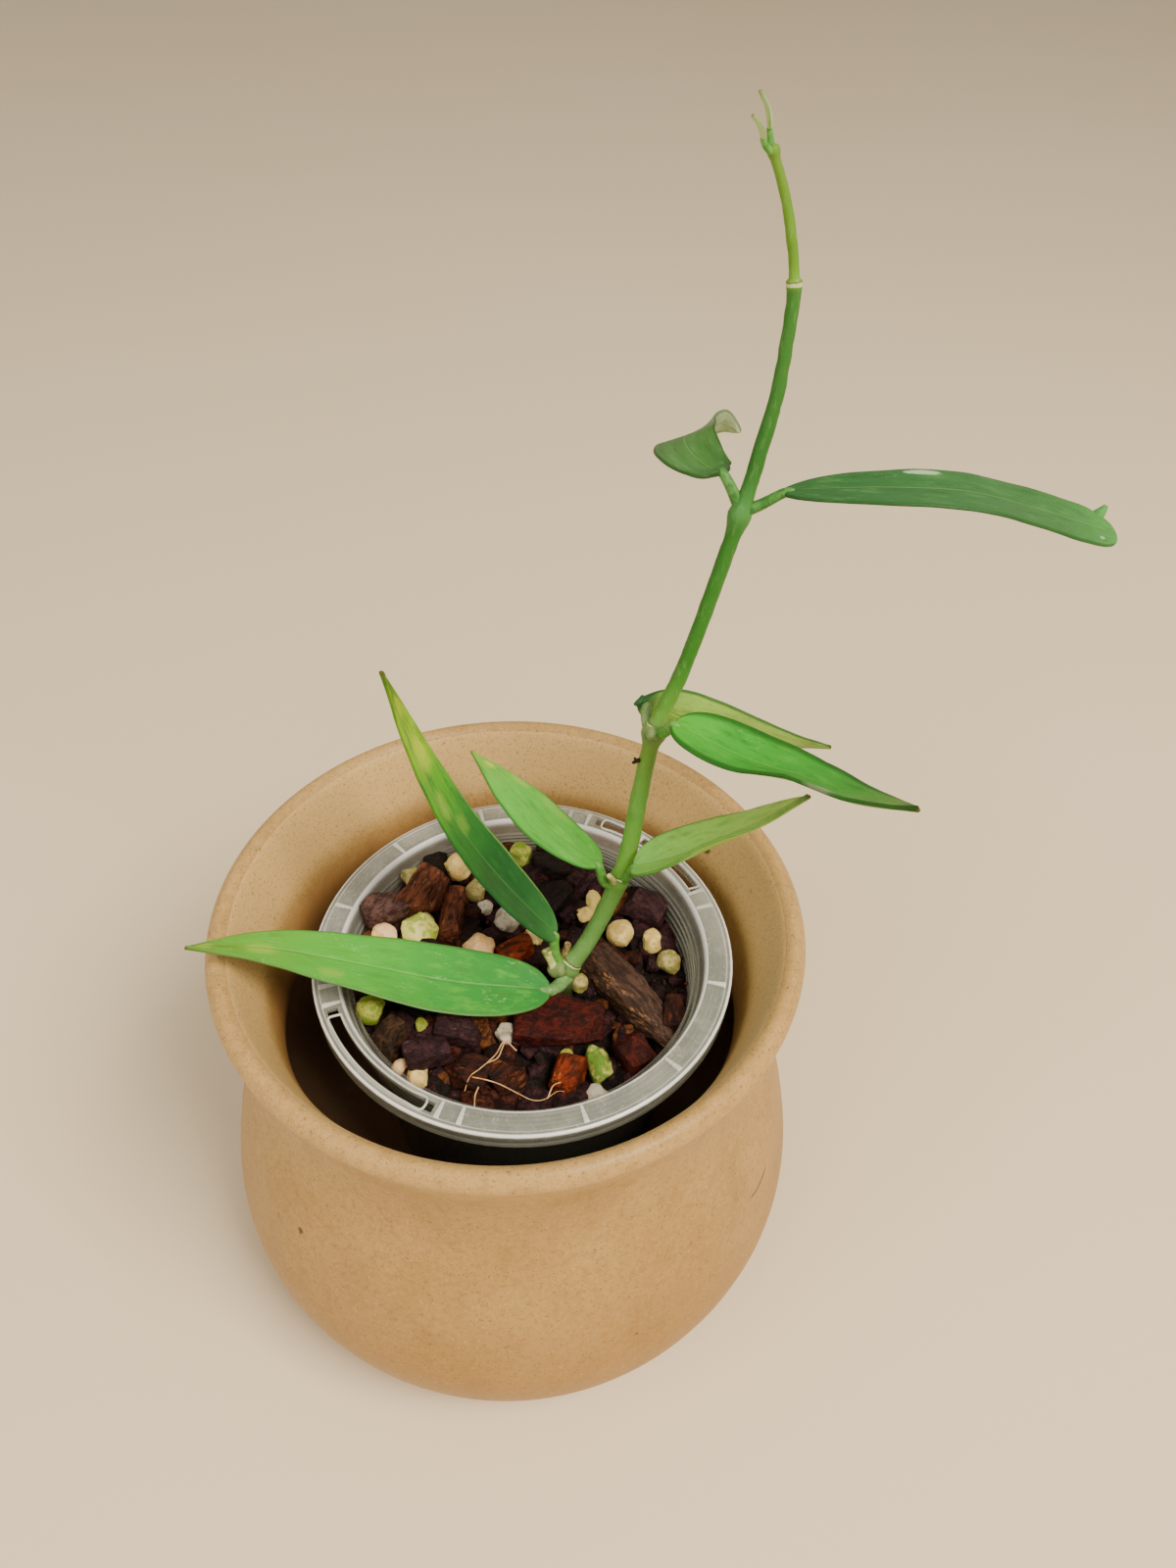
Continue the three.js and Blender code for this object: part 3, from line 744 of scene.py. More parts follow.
@dataclass(frozen=True)
class LeafFinish:
    """The colours of one leaf, from its base to its tip."""

    along: Stops
    under: Stops = ((0.0, "#9cbf5c"), (0.5, "#93b855"), (1.0, "#86a346"))
    margin: str = "#4d7134"
    margin_width: float = 0.07
    margin_strength: float = 0.7
    flecks: float = 0.4
    mottle: str = "#6fae45"
    patches: tuple[Patch, ...] = ()
    glow: float = 0.1
    vein: str = "#9cc766"
    fleck: str = "#a9d67c"
    speckle: str = "#5e7f3b"
    tip: str = "#5b4a26"
    patch_reach: float = 1.25

    def patched(self, made: Recipe, colour: Value, u: Value, v: Value, ragged: Value) -> Value:
        """Lay the patches on the upper face.

        Args:
            made: The face's recipe.
            colour: Its colour so far.
            u: The share along the blade.
            v: The share across it.
            ragged: What frays the patches' edges.

        Returns:
            The colour with its patches.
        """
        for patch in self.patches:
            along, across = (u - patch.along) / patch.long, (v - patch.across) / patch.wide
            off = made.calc("SQRT", along * along + across * across)
            mask = made.step(off + ragged, self.patch_reach, self.patch_reach - patch.soft)
            colour = made.blend(mask * patch.strength, colour, patch.colour)
        return colour

    def material(self, name: str, length: float, width: float, upper: bool) -> bpy.types.Material:
        """Build the upper or the lower face.

        Args:
            name: The leaf's name.
            length: The blade's length in mm.
            width: The blade's width in mm.
            upper: Whether this is the upper face.

        Returns:
            The material.
        """
        made = Recipe(f"{name}_{'face' if upper else 'underside'}", Coat_Weight=0.03 if upper else 0.0,
                      Coat_Roughness=0.25, Specular_IOR_Level=0.14, Subsurface_Weight=self.glow,
                      Subsurface_Scale=0.002)
        made.shader.inputs["Subsurface Radius"].default_value = (0.5, 1.0, 0.25)
        flat = made.add("UVMap")
        u, v, _ = made.axes(flat)
        sheet = made.scaled(flat, (length, width, 1))
        side = abs(v * 2.0 - 1.0)
        drift = (made.noise(6, 3, where=sheet) - 0.5) * 0.16
        colour = made.ramp(u + drift, self.along if upper else self.under)
        cloud = made.noise(3.2, 5, 0.68, where=sheet, stretch=(0.5, 1, 1))
        colour = made.blend(made.step(cloud, 0.48, 0.68) * 0.6, colour, self.mottle)
        colour = made.mottle(colour, self.margin, (4.4, 5, 0.66), (0.5, 0.72), 0.45, where=sheet,
                             stretch=(0.45, 1.3, 1))
        colour = made.mottle(colour, self.margin, (0.9, 4, 0.7), (0.52, 0.7), 0.3, where=sheet,
                             stretch=(0.25, 1.4, 1))
        colour = made.blend(made.step(side, 0.05, 0.0) * (0.16 if upper else 0.2), colour, self.vein)
        if upper and self.flecks:
            fleck = made.noise(0.9, 4, 0.68, where=sheet, stretch=(0.5, 1.5, 1), twist=1.2)
            zone = made.step(made.noise(7.5, 2, where=sheet), 0.52, 0.64)
            colour = made.blend(made.step(fleck, 0.58, 0.65) * zone * self.flecks, colour, self.fleck)
        ragged = (made.noise(1.6, 3, where=sheet) - 0.5) * 0.9
        if upper:
            colour = self.patched(made, colour, u, v, ragged)
        else:
            colour = made.mottle(colour, self.speckle, (0.5, 2, 0.6), (0.56, 0.72), 0.3, where=sheet)
        edge = made.step(side + ragged * 0.02, 1.0 - self.margin_width * 1.6, 1.0 - self.margin_width * 0.5)
        colour = made.blend(edge * (self.margin_strength if upper else 0.35), colour, self.margin)
        colour = made.blend(made.step(u, 0.965, 0.995) * 0.75, colour, self.tip)
        made.relief(cloud, 0.14)
        made.relief(made.noise(0.45, 2, 0.5, where=sheet), 0.03)
        made.relief(made.step(side, 0.0, 0.06), 0.12)
        return made.done(colour, cloud * 0.2 + (0.3 if upper else 0.45))


@dataclass(frozen=True)
class Fleshy:
    """Plain green growth, such as a petiole or a bud."""

    name: str
    base: str
    light: str
    dark: str
    roughness: float = 0.42

    def material(self) -> bpy.types.Material:
        """Build the finish."""
        made = Recipe(self.name, Coat_Weight=0.03, Coat_Roughness=0.3, Specular_IOR_Level=0.2)
        cloud = made.noise(1.6, 3, 0.6)
        colour = made.blend(made.step(cloud, 0.35, 0.62), self.base, self.light)
        colour = made.mottle(colour, self.dark, (0.7, 2), (0.58, 0.72), 0.6)
        made.relief(cloud, 0.12)
        return made.done(colour, self.roughness)


@dataclass(frozen=True)
class Band:
    """A thin ring of colour on the stem: its knot, how far past it in mm, half width and colour."""

    knot: int
    past: float
    half: float
    colour: str
    strength: float


@dataclass(frozen=True)
class StemSkin:
    """The stem's green skin, which changes from one stretch to the next."""

    name: str = "stem_skin"
    start: str = "#23200f"
    end: str = "#648a2c"
    zones: tuple[tuple[int, float, str], ...] = (
        (2, -4, "#2f3218"), (2, -1, "#55703c"), (2, 0, "#648a48"), (2, 9, "#659548"), (5, 0, "#649440"),
        (5, 6, "#70aa3c"), (5, 22, "#66a040"), (8, -4, "#6a9038"), (8, 0, "#71884c"), (8, 4, "#5c9230"),
        (8, 16, "#32701f"), (11, -4, "#306a22"), (11, 0, "#43803a"), (11, 8, "#2f6826"),
        (15, -1.2, "#3a7029"), (15, 0.4, "#6f9c30"), (15, 3, "#5f8c20"))
    bands: tuple[Band, ...] = (
        Band(2, 2.45, 0.13, "#e0d9a4", 0.85), Band(2, 2.8, 0.12, "#4a3b22", 0.7),
        Band(5, 2.75, 0.13, "#e4dfb2", 0.85), Band(5, 3.1, 0.12, "#4a3b22", 0.7),
        Band(15, -0.1, 0.3, "#c9d096", 0.8), Band(15, 0.35, 0.15, "#5d5232", 0.6),
        Band(8, 1.5, 0.14, "#c9d09a", 0.7), Band(8, 1.9, 0.16, "#56502c", 0.5))

    def material(self, knots: Sequence[float]) -> bpy.types.Material:
        """Build the skin for knots that lie at these lengths along the stem."""
        made = Recipe(self.name, Coat_Weight=0.03, Coat_Roughness=0.35, Specular_IOR_Level=0.18)
        along = made.add("Attribute", "Fac", attribute_name="along") + made.noise(1.1, 2) * 0.5
        grain = made.noise(1.2, 3, 0.6, stretch=(1.6, 1.6, 0.25))
        stops = [((knots[knot] + past) / knots[-1], colour) for knot, past, colour in self.zones]
        colour = made.ramp(along / knots[-1], ((0.0, self.start), *stops, (1.0, self.end)))
        colour = made.blend(made.step(grain, 0.52, 0.7) * 0.12, colour, "#a6c07a")
        colour = made.mottle(colour, "#4f6b34", (2.4, 3), (0.55, 0.75), 0.3)
        colour = made.mottle(colour, "#6f5a36", (0.7, 2), (0.68, 0.74), 0.5)
        for band in self.bands:
            off = abs(along - (knots[band.knot] + band.past))
            mask = made.step(off, band.half * 1.3, band.half * 0.7) * band.strength
            colour = made.blend(mask, colour, band.colour)
        made.relief(grain, 0.12)
        return made.done(colour, grain * 0.2 + 0.36)


@dataclass(frozen=True)
class Stone:
    """Porous volcanic stone with dark grit, pits painted dark as shade in the holes, and a hint of moss."""

    name: str
    base: str
    light: str
    dark: str
    # Dark colour of the grit specks, and of the painted shade in the pits.
    grit_and_pit_shade: str = "#3a2c1e"
    pit_size: float = 1.5
    pits: float = 0.75
    moss: str = ""

    def material(self) -> bpy.types.Material:
        """Build the stone."""
        made = Recipe(self.name, Specular_IOR_Level=0.2)
        cloud = made.noise(3.4, 5, 0.65)
        colour = made.blend(made.step(cloud, 0.38, 0.62), self.base, self.light)
        colour = made.mottle(colour, self.dark, (2.1, 4, 0.7), (0.52, 0.68), 0.75)
        if self.moss:
            colour = made.mottle(colour, self.moss, (3.1, 4, 0.6), (0.47, 0.56), 0.85, stretch=(1, 1, 1.6))
        grit = made.noise(0.55, 3, 0.7)
        # Dark grit specks; the pits below take the same colour as painted shade in the holes.
        colour = made.blend(made.step(grit, 0.58, 0.72) * 0.2, colour, self.grit_and_pit_shade)
        hole = made.step(made.cells(self.pit_size) + grit * 0.3, 0.3, 0.22)
        hole = hole * made.step(made.noise(3.8, 2), 0.5, 0.56) * self.pits
        colour = made.blend(hole, colour, self.grit_and_pit_shade)
        made.relief(cloud, 0.35)
        made.relief(grit, 0.12)
        made.relief(made.calc("SUBTRACT", 1.0, hole), 0.45)
        return made.done(colour, 0.86)


@dataclass(frozen=True)
class BarkSkin:
    """Bark: long fibres, darker in the clefts between them as its own streaks and as painted shade, and
    lighter torn flecks, along the piece's own length if it has one.
    """

    name: str
    base: str
    light: str
    dark: str
    flecks: float = 0.5
    grain: Point = (0.3, 1.0, 1.0)
    own: bool = True
    fleck_side: bool = False

    def material(self) -> bpy.types.Material:
        """Build the bark."""
        made = Recipe(self.name, Specular_IOR_Level=0.16)
        if self.own:
            made.place = made.add("Attribute", "Vector", attribute_name="own")
        fibre = made.noise(1.3, 5, 0.66, stretch=self.grain, twist=0.8)
        # The fibres' sunk clefts take the dark colour: partly the bark's own streaks, partly painted shade in
        # the clefts.
        colour = made.blend(made.step(fibre, 0.36, 0.62), self.dark, self.base)
        colour = made.mottle(colour, self.dark, (4.2, 4, 0.6), (0.48, 0.66), 0.8)
        if self.fleck_side:
            zone = made.step(made.axes(made.place)[1], -0.9, -1.9)
        else:
            zone = made.step(made.noise(5.5, 3), 0.5, 0.62)
        torn = made.step(made.noise(0.9, 4, 0.7, stretch=(max(self.grain[0], 0.4), 1, 1)), 0.53, 0.66)
        colour = made.blend(torn * (zone * self.flecks), colour, self.light)
        made.relief(fibre, 0.5)
        made.relief(made.noise(0.6, 3, 0.7), 0.16)
        return made.done(colour, fibre * 0.3 + 0.5)


class Rock(Enum):
    """The kinds of loose stone on the mix."""

    CREAM = Stone("cream_stone", "#dcb868", "#f2d68a", "#a88a44", pits=0.6, moss="#c2ac60")
    PINK = Stone("pink_stone", "#f8c07a", "#fcd8a0", "#d09a5a", pits=0.45, pit_size=2.6)
    OLIVE = Stone("olive_stone", "#94854c", "#bdae72", "#675a2c", pits=0.5, moss="#7d7a34")
    MOSSY = Stone("mossy_stone", "#ece472", "#f8f29c", "#b9bc48", pits=0.3, moss="#a0b630")
    LIME = Stone("lime_stone", "#8c9236", "#b4b854", "#5f6524", pits=0.4, moss="#6f8a24")
    # Its near-black pits are painted shade in the holes.
    PITTED = Stone("pitted_stone", "#6c7826", "#b0b458", "#2a3212", grit_and_pit_shade="#10150a", pit_size=2.0, pits=0.95,
                   moss="#4c7622")
    GREY = Stone("grey_stone", "#948975", "#c3baa4", "#6b5f50", pits=0.3)


class Tree(Enum):
    """The kinds of loose bark on the mix."""

    PURPLE = BarkSkin("purple_bark", "#43282b", "#74564f", "#1f1114", 0.35, (0.7, 1, 1))
    TAUPE = BarkSkin("taupe_bark", "#6f5048", "#a08a78", "#36231f", 0.35, (0.7, 1, 1))
    BROWN = BarkSkin("brown_bark", "#74402a", "#a8734a", "#2c150d", 0.5)
    DARK = BarkSkin("dark_bark", "#3c1b10", "#94522a", "#180a07", 0.5)
    RUST = BarkSkin("rust_bark", "#80300f", "#c46f28", "#331208", 0.8)
    MAROON = BarkSkin("maroon_bark", "#4a150d", "#6e2c1a", "#1f0806", 0.4, (0.7, 1, 1))
    UMBER = BarkSkin("umber_bark", "#46301f", "#b0762e", "#190f09", 0.85, (0.5, 1, 1))
    PLANK = BarkSkin("plank_bark", "#5a4337", "#a8733c", "#2e1f19", 0.75, (0.15, 1, 1), fleck_side=True)
    BLACK = BarkSkin("black_bark", "#231613", "#4b342a", "#0b0605", 0.3)


# The pots.

@dataclass
class StonewarePot:
    """The flared pot: round belly, pinched neck, trumpet mouth with a rolled lip."""

    foot: tuple[Pair, ...] = ((46.5, 0.6), (47.2, 0))
    outside: tuple[Pair, ...] = (
        (48, 0), (57, 3.6), (63.5, 11.5), (67.5, 26), (66.3, 39), (62.4, 56), (57.6, 69), (55.5, 80),
        (56.4, 90), (59.3, 99), (61.6, 102.6))
    lip: tuple[Pair, ...] = ((61.6, 102.6), (62, 104.6), (60.8, 106.5), (59, 107), (57.2, 105.6))
    inside: tuple[Pair, ...] = (
        (57.2, 105.6), (54.6, 99), (51.8, 90.5), (50, 80), (51.2, 71), (56.4, 57), (60.6, 39), (62, 26),
        (58, 13), (51, 7.6), (44, 7))
    sides: int = 72
    outer_glaze: Glaze = Glaze("tan_glaze", marks=((-45.9, -42.3, 55.9, 1.7), (24, -62, 40, 1.2)))
    inner_glaze: Glaze = Glaze("inner_glaze", inside=True, marks=((46.6, 26.2, 95.3, 3),))
    glazed_within: tuple[float, float, float] = (6.8, 105.6, 62.5)
    crumb_at: Point = (-49.4, -26.2, 97.4)
    crumb_radius: float = 1.1

    def wall(self) -> Piece:
        """Model the pot in one wall and tell its inside from its outside."""
        rings = eased(self.outside, 2)[:-1] + eased(self.lip, 2)[:-1] + eased(self.inside, 2)
        piece = turned([*self.foot, *rings], self.sides)
        subdivide(piece)
        apply_modifiers(piece)
        for glaze in (self.outer_glaze, self.inner_glaze):
            piece.data.materials.append(glaze.material())
        low, high, reach = mm(*self.glazed_within)
        with editing(piece):
            pick_faces(piece, lambda place, normal: low < place.z < high and place.xy.length < reach
                       and normal.x * place.x + normal.y * place.y < MM)
            piece.active_material_index = 1
            bpy.ops.object.material_slot_assign()
        return piece

    def crumb(self) -> Piece:
        """Model the crumb of mix that stuck to the flare."""
        middle = mm(*self.crumb_at)
        bpy.ops.mesh.primitive_ico_sphere_add(subdivisions=3, radius=self.crumb_radius * MM, location=middle)
        piece = bpy.context.object
        with editing(piece, True):
            bpy.ops.transform.resize(value=(1.5, 0.8, 0.5), center_override=middle)
            bpy.ops.transform.vertex_random(offset=0.12 * MM, seed=5)
        return piece

    def build(self) -> None:
        """Make the pot and its crumb."""
        hand_over(self.wall(), "stoneware_pot", 60, (), ("outer_pot",))
        hand_over(self.crumb(), "flare_crumb", 60, (Tree.UMBER.value.material(),))


def inner_radius(high: float) -> float:
    """Give the growing pot's inner radius in mm at a height."""
    return FOOT_RADIUS - WALL + (high - FOOT_HEIGHT) * TAPER


@dataclass
class GrowingPot:
    """The clear pot: ridged taper wall and a flat flange with slots and ribs."""

    sides: int = 96
    plain_levels: tuple[float, ...] = (20, 35, 50, 65, 77)
    ridges_from: float = 78.4
    ridge_levels: int = 13
    ridge: float = 0.5
    slot_from: Pair = (-159.4, 20.6)
    slot_span: float = 41.3
    slot_ring: Pair = (40.9, 43.1)
    slot_floor: float = 93.0
    rim_height: float = 94.35
    rim_radius: float = 0.26
    rim_steps: int = 9
    rib_angles: tuple[float, ...] = (
        -169.5, -163, -114.6, -108.5, -76, -47, -16, 13.5, 19.7, 47.4, 66.4, 72.6, 102, 131.8, 160.4)
    rib_size: Point = (4.0, 0.62, 0.7)
    rib_at: Point = (41.8, 0, 94.2)
    rib_bevel: float = 0.2

    def rings(self) -> list[Pair]:
        """List the rings from the foot's outside over the flange to the floor's inside."""
        levels = [(high, 0.0) for high in self.plain_levels]
        levels += [(self.ridges_from + step, self.ridge * (step % 2)) for step in range(self.ridge_levels)]
        foot = [(FOOT_RADIUS - 0.6, FOOT_HEIGHT), (FOOT_RADIUS, FOOT_HEIGHT + 0.7)]
        outer = [(inner_radius(high) + WALL + ridge, high) for high, ridge in levels]
        low, high = self.slot_ring
        flange = [(39.3, 91.8), (40.3, 93.0), (low, 93.3), (high, 93.3), (44, 93.3), (44.1, 90.5),
                  (44.4, 90.1), (44.8, 90.4), (45, 93.7), (44.9, 94.15), (44.6, 94.4), (44.3, 94.45),
                  (43.9, 94.3), (high, 94.3), (low, 94.3), (40, 94.3), (39.6, 94.35), (39.3, 94.1), (39, 93),
                  (38.3, 92.2)]
        inner = [(inner_radius(high) + ridge, high) for high, ridge in reversed(levels)]
        floor = [(FOOT_RADIUS - 1, FOOT_HEIGHT + 1.6), (FOOT_RADIUS - 2, FOOT_HEIGHT + 1)]
        return foot + outer + flange + inner + floor

    def cut_slot(self, piece: Piece, start: float) -> None:
        """Cut one hanger slot through the flange.

        Args:
            piece: The pot's wall.
            start: The slot's first angle in degrees.
        """
        low, high = mm(*self.slot_ring)

        def over_slot(place: Vector, normal: Vector) -> bool:
            """Tell whether a face lies over the slot."""
            off = place - mm(*INNER_AXIS, 0)
            turn = (math.degrees(math.atan2(off.y, off.x)) - start) % 360
            return (low < off.xy.length < high and turn < self.slot_span
                    and place.z > self.slot_floor * MM and abs(normal.z) > 0.9)

        with editing(piece):
            pick_faces(piece, over_slot)
            bpy.ops.mesh.delete(type="FACE")
            bpy.ops.mesh.select_all(action="DESELECT")
            bpy.ops.mesh.select_non_manifold()
            bpy.ops.mesh.bridge_edge_loops()

    def rib(self) -> Piece:
        """Model one radial rib, wider towards the rim."""
        bpy.ops.mesh.primitive_cube_add(size=1, location=(0, 0, 0))
        piece = bpy.context.object
        with editing(piece, True):
            bpy.ops.transform.resize(value=mm(*self.rib_size))
            bpy.ops.transform.translate(value=mm(*self.rib_at))
            pick(piece, lambda place: place.x > (self.rib_at[0] + 1) * MM)
            bpy.ops.transform.resize(value=(1, 1.9, 1.2))
            bpy.ops.mesh.select_all(action="SELECT")
            bpy.ops.mesh.bevel(offset=self.rib_bevel * MM, segments=3, affect="EDGES")
        return piece

    def ribs(self) -> Piece:
        """Copy the rib round the flange, and join the slots' rims to the copies."""
        rib = self.rib()
        axis = Matrix.Translation(mm(*INNER_AXIS, 0))
        copies = [copied(rib, axis @ Matrix.Rotation(math.radians(angle), 4, "Z"))
                  for angle in self.rib_angles]
        bpy.data.objects.remove(rib)
        for copy in copies:
            own_place(copy)
        return joined(copies + [self.slot_rim(start) for start in self.slot_from])

    def slot_rim(self, start: float) -> Piece:
        """Model the fine raised rim round one slot.

        Args:
            start: The slot's first angle in degrees.

        Returns:
            The rim as a closed tube.
        """
        low, high = self.slot_ring
        turns = [start + 1 + (self.slot_span - 2) * at / self.rim_steps for at in range(self.rim_steps + 1)]
        route = [(low - 0.25, turn) for turn in turns] + [(high + 0.25, turn) for turn in reversed(turns)]
        places = [mm(INNER_AXIS[0] + out * math.cos(math.radians(turn)),
                     INNER_AXIS[1] + out * math.sin(math.radians(turn)), self.rim_height)
                  for out, turn in route]
        return round_line(places + places[:1], [self.rim_radius] * (len(places) + 1), 2)

    def build(self) -> None:
        """Make the pot and its ribs."""
        piece = turned(self.rings(), self.sides, INNER_AXIS)
        for start in self.slot_from:
            self.cut_slot(piece, start)
        milky = ClearPlastic("milky_plastic").material()
        hand_over(piece, "growing_pot", 42, (milky,), ("inner_pot",))
        # The ribs and slot rims are drawn near-white and nearly solid: painted highlights on clear plastic.
        ribs = ClearPlastic("rib_plastic_glint", 0.85, 0.9, "#dfe1d8", "#f6f8f2").material()
        hand_over(self.ribs(), "flange_ribs", 60, (ribs,))


# What lies in the pot.

@dataclass
class PottingMix:
    """The dark bark mix: its rough heap and several hundred loose crumbs."""

    top: float = 86.5
    fall: float = -0.09
    rise: float = 0.06
    floor_rings: tuple[Pair, ...] = ((28, 8.8), (29, 12))
    wall_levels: tuple[float, ...] = (30, 55, 75, 83)
    wall_gap: float = 0.35
    rings_in: tuple[float, ...] = (36.6, 34.5, 32, 29, 26, 23, 20, 17, 14, 11, 8, 5.4, 3)
    crown_from: float = 83.8
    tilt_from: float = 70.0
    strips: tuple[int, int, int] = (-36, 42, 2)
    counts: tuple[tuple[int, float, float], ...] = ((105, 5.2, 9.8), (230, 2.6, 5.0), (420, 1.0, 2.4))
    chunks_over: float = 2.0
    scatter: float = 37.0
    edge: float = 36.9
    stem_at: Pair = (12.0, -3.6)
    stem_room: float = 2.4
    base: tuple[str, str, str, str, float] = ("mix_base", "#1d1310", "#3a2920", "#060404", 0.3)
    kinds: tuple[tuple[int, tuple[str, str, str, str, float]], ...] = (
        (5, ("crumb_dark", "#291613", "#54392c", "#0d0605", 0.3)),
        (4, ("crumb_brown", "#4a2014", "#8d5228", "#170a07", 0.5)),
        (5, ("crumb_plum", "#3c2023", "#6b4d4c", "#14080b", 0.3)),
        (1, ("crumb_tan", "#70401c", "#b57a34", "#2d180d", 0.5)))

    def surface(self, x: float, y: float) -> float:
        """Give the mix's height at a place in mm."""
        bumps = math.sin(0.31 * x + 0.6) * math.cos(0.27 * y - 0.4) + 0.6 * math.sin(0.83 * x - 0.71 * y)
        return self.top + self.fall * x + self.rise * y + 0.9 * bumps

    def heap(self) -> Piece:
        """Model the heap's body with a broken-up top."""
        walls = [(inner_radius(high) - self.wall_gap, high) for high in self.wall_levels]
        rings = [*self.floor_rings, *walls, *((radius, self.top - 2.2) for radius in self.rings_in)]
        piece = turned(rings, 56, INNER_AXIS)
        crown = [vert.index for vert in piece.data.vertices if vert.co.z > self.crown_from * MM]
        piece.vertex_groups.new(name="top").add(crown, 1.0, "REPLACE")
        reach = (self.strips[2] / 2 + 0.001) * MM
        with editing(piece):
            for x in range(*self.strips):
                pick(piece, lambda place, x=x: place.z > self.tilt_from * MM
                     and abs(place.x - x * MM) <= reach)
                bpy.ops.transform.translate(value=mm(0, 0, self.fall * x))
            bpy.ops.mesh.select_all(action="DESELECT")
        subdivide(piece)
        roughen(piece, 4.2, 4.0, "top")
        roughen(piece, 1.6, 1.6, "top")
        apply_modifiers(piece)
        return piece

    def shard(self, seed: int) -> Piece:
        """Model one small rough crumb, a millimetre long."""
        bpy.ops.mesh.primitive_ico_sphere_add(subdivisions=1, radius=0.5 * MM, location=(0, 0, 0))
        piece = bpy.context.object
        with editing(piece, True):
            bpy.ops.transform.resize(value=(1.0, 0.72, 0.6))
            bpy.ops.transform.vertex_random(offset=0.11 * MM, seed=seed)
        return piece

    def chunk(self, seed: int) -> Piece:
        """Model one split chunk of bark, a millimetre long, from a block with its corners hewn off."""
        piece = block(1, 0.2)
        hew(piece, random.Random(seed), 5, 0.72, 1.02)
        with editing(piece, True):
            bpy.ops.mesh.bevel(offset=0.1, segments=1, affect="EDGES")
            bpy.ops.mesh.quads_convert_to_tris()
            bpy.ops.transform.resize(value=mm(0.52, 0.4, 0.31), center_override=(0, 0, 0))
        return piece

    def crumbs(self, chance: random.Random, skins: Sequence[bpy.types.Material]) -> Piece:
        """Scatter the crumbs over the heap and join them.

        Args:
            chance: The seeded chance.
            skins: The finishes that they take in turn.

        Returns:
            All crumbs as one piece.
        """
        chunks = [self.chunk(seed) for seed in range(4)]
        shards = [self.shard(seed) for seed in range(4, 7)]
        copies = []
        for count, low, high in self.counts:
            models = chunks if low > self.chunks_over else shards
            for _ in range(count):
                out, turn = self.scatter * math.sqrt(chance.random()), chance.uniform(0, math.tau)
                size = chance.uniform(low, high)
                out = min(out, self.edge - size * 0.48)
                x, y = INNER_AXIS[0] + out * math.cos(turn), INNER_AXIS[1] + out * math.sin(turn)
                if math.dist((x, y), self.stem_at) < self.stem_room + size / 2:
                    continue
                high_up = self.surface(x, y) - 0.24 * size + chance.uniform(-0.7, 0.6)
                place = Matrix.Translation(mm(x, y, high_up))
                lean = Euler((chance.gauss(0, 0.3), chance.gauss(0, 0.3), chance.uniform(0, math.tau)))
                stance = place @ lean.to_matrix().to_4x4() @ Matrix.Scale(size, 4)
                copy = copied(chance.choice(models), stance)
                copy.data.materials.append(chance.choice(skins))
                copies.append(copy)
        for shape in chunks + shards:
            bpy.data.objects.remove(shape)
        return joined(copies)

    def build(self, chance: random.Random) -> None:
        """Make the heap and its crumbs."""
        base = BarkSkin(*self.base, (1, 1, 1), False).material()
        hand_over(self.heap(), "mix_heap", 70, (base,), ("potting_mix",))
        skins = []
        for count, look in self.kinds:
            skins += [BarkSkin(*look, (1, 1, 1), False).material()] * count
        hand_over(self.crumbs(chance, skins), "mix_crumbs", 50)


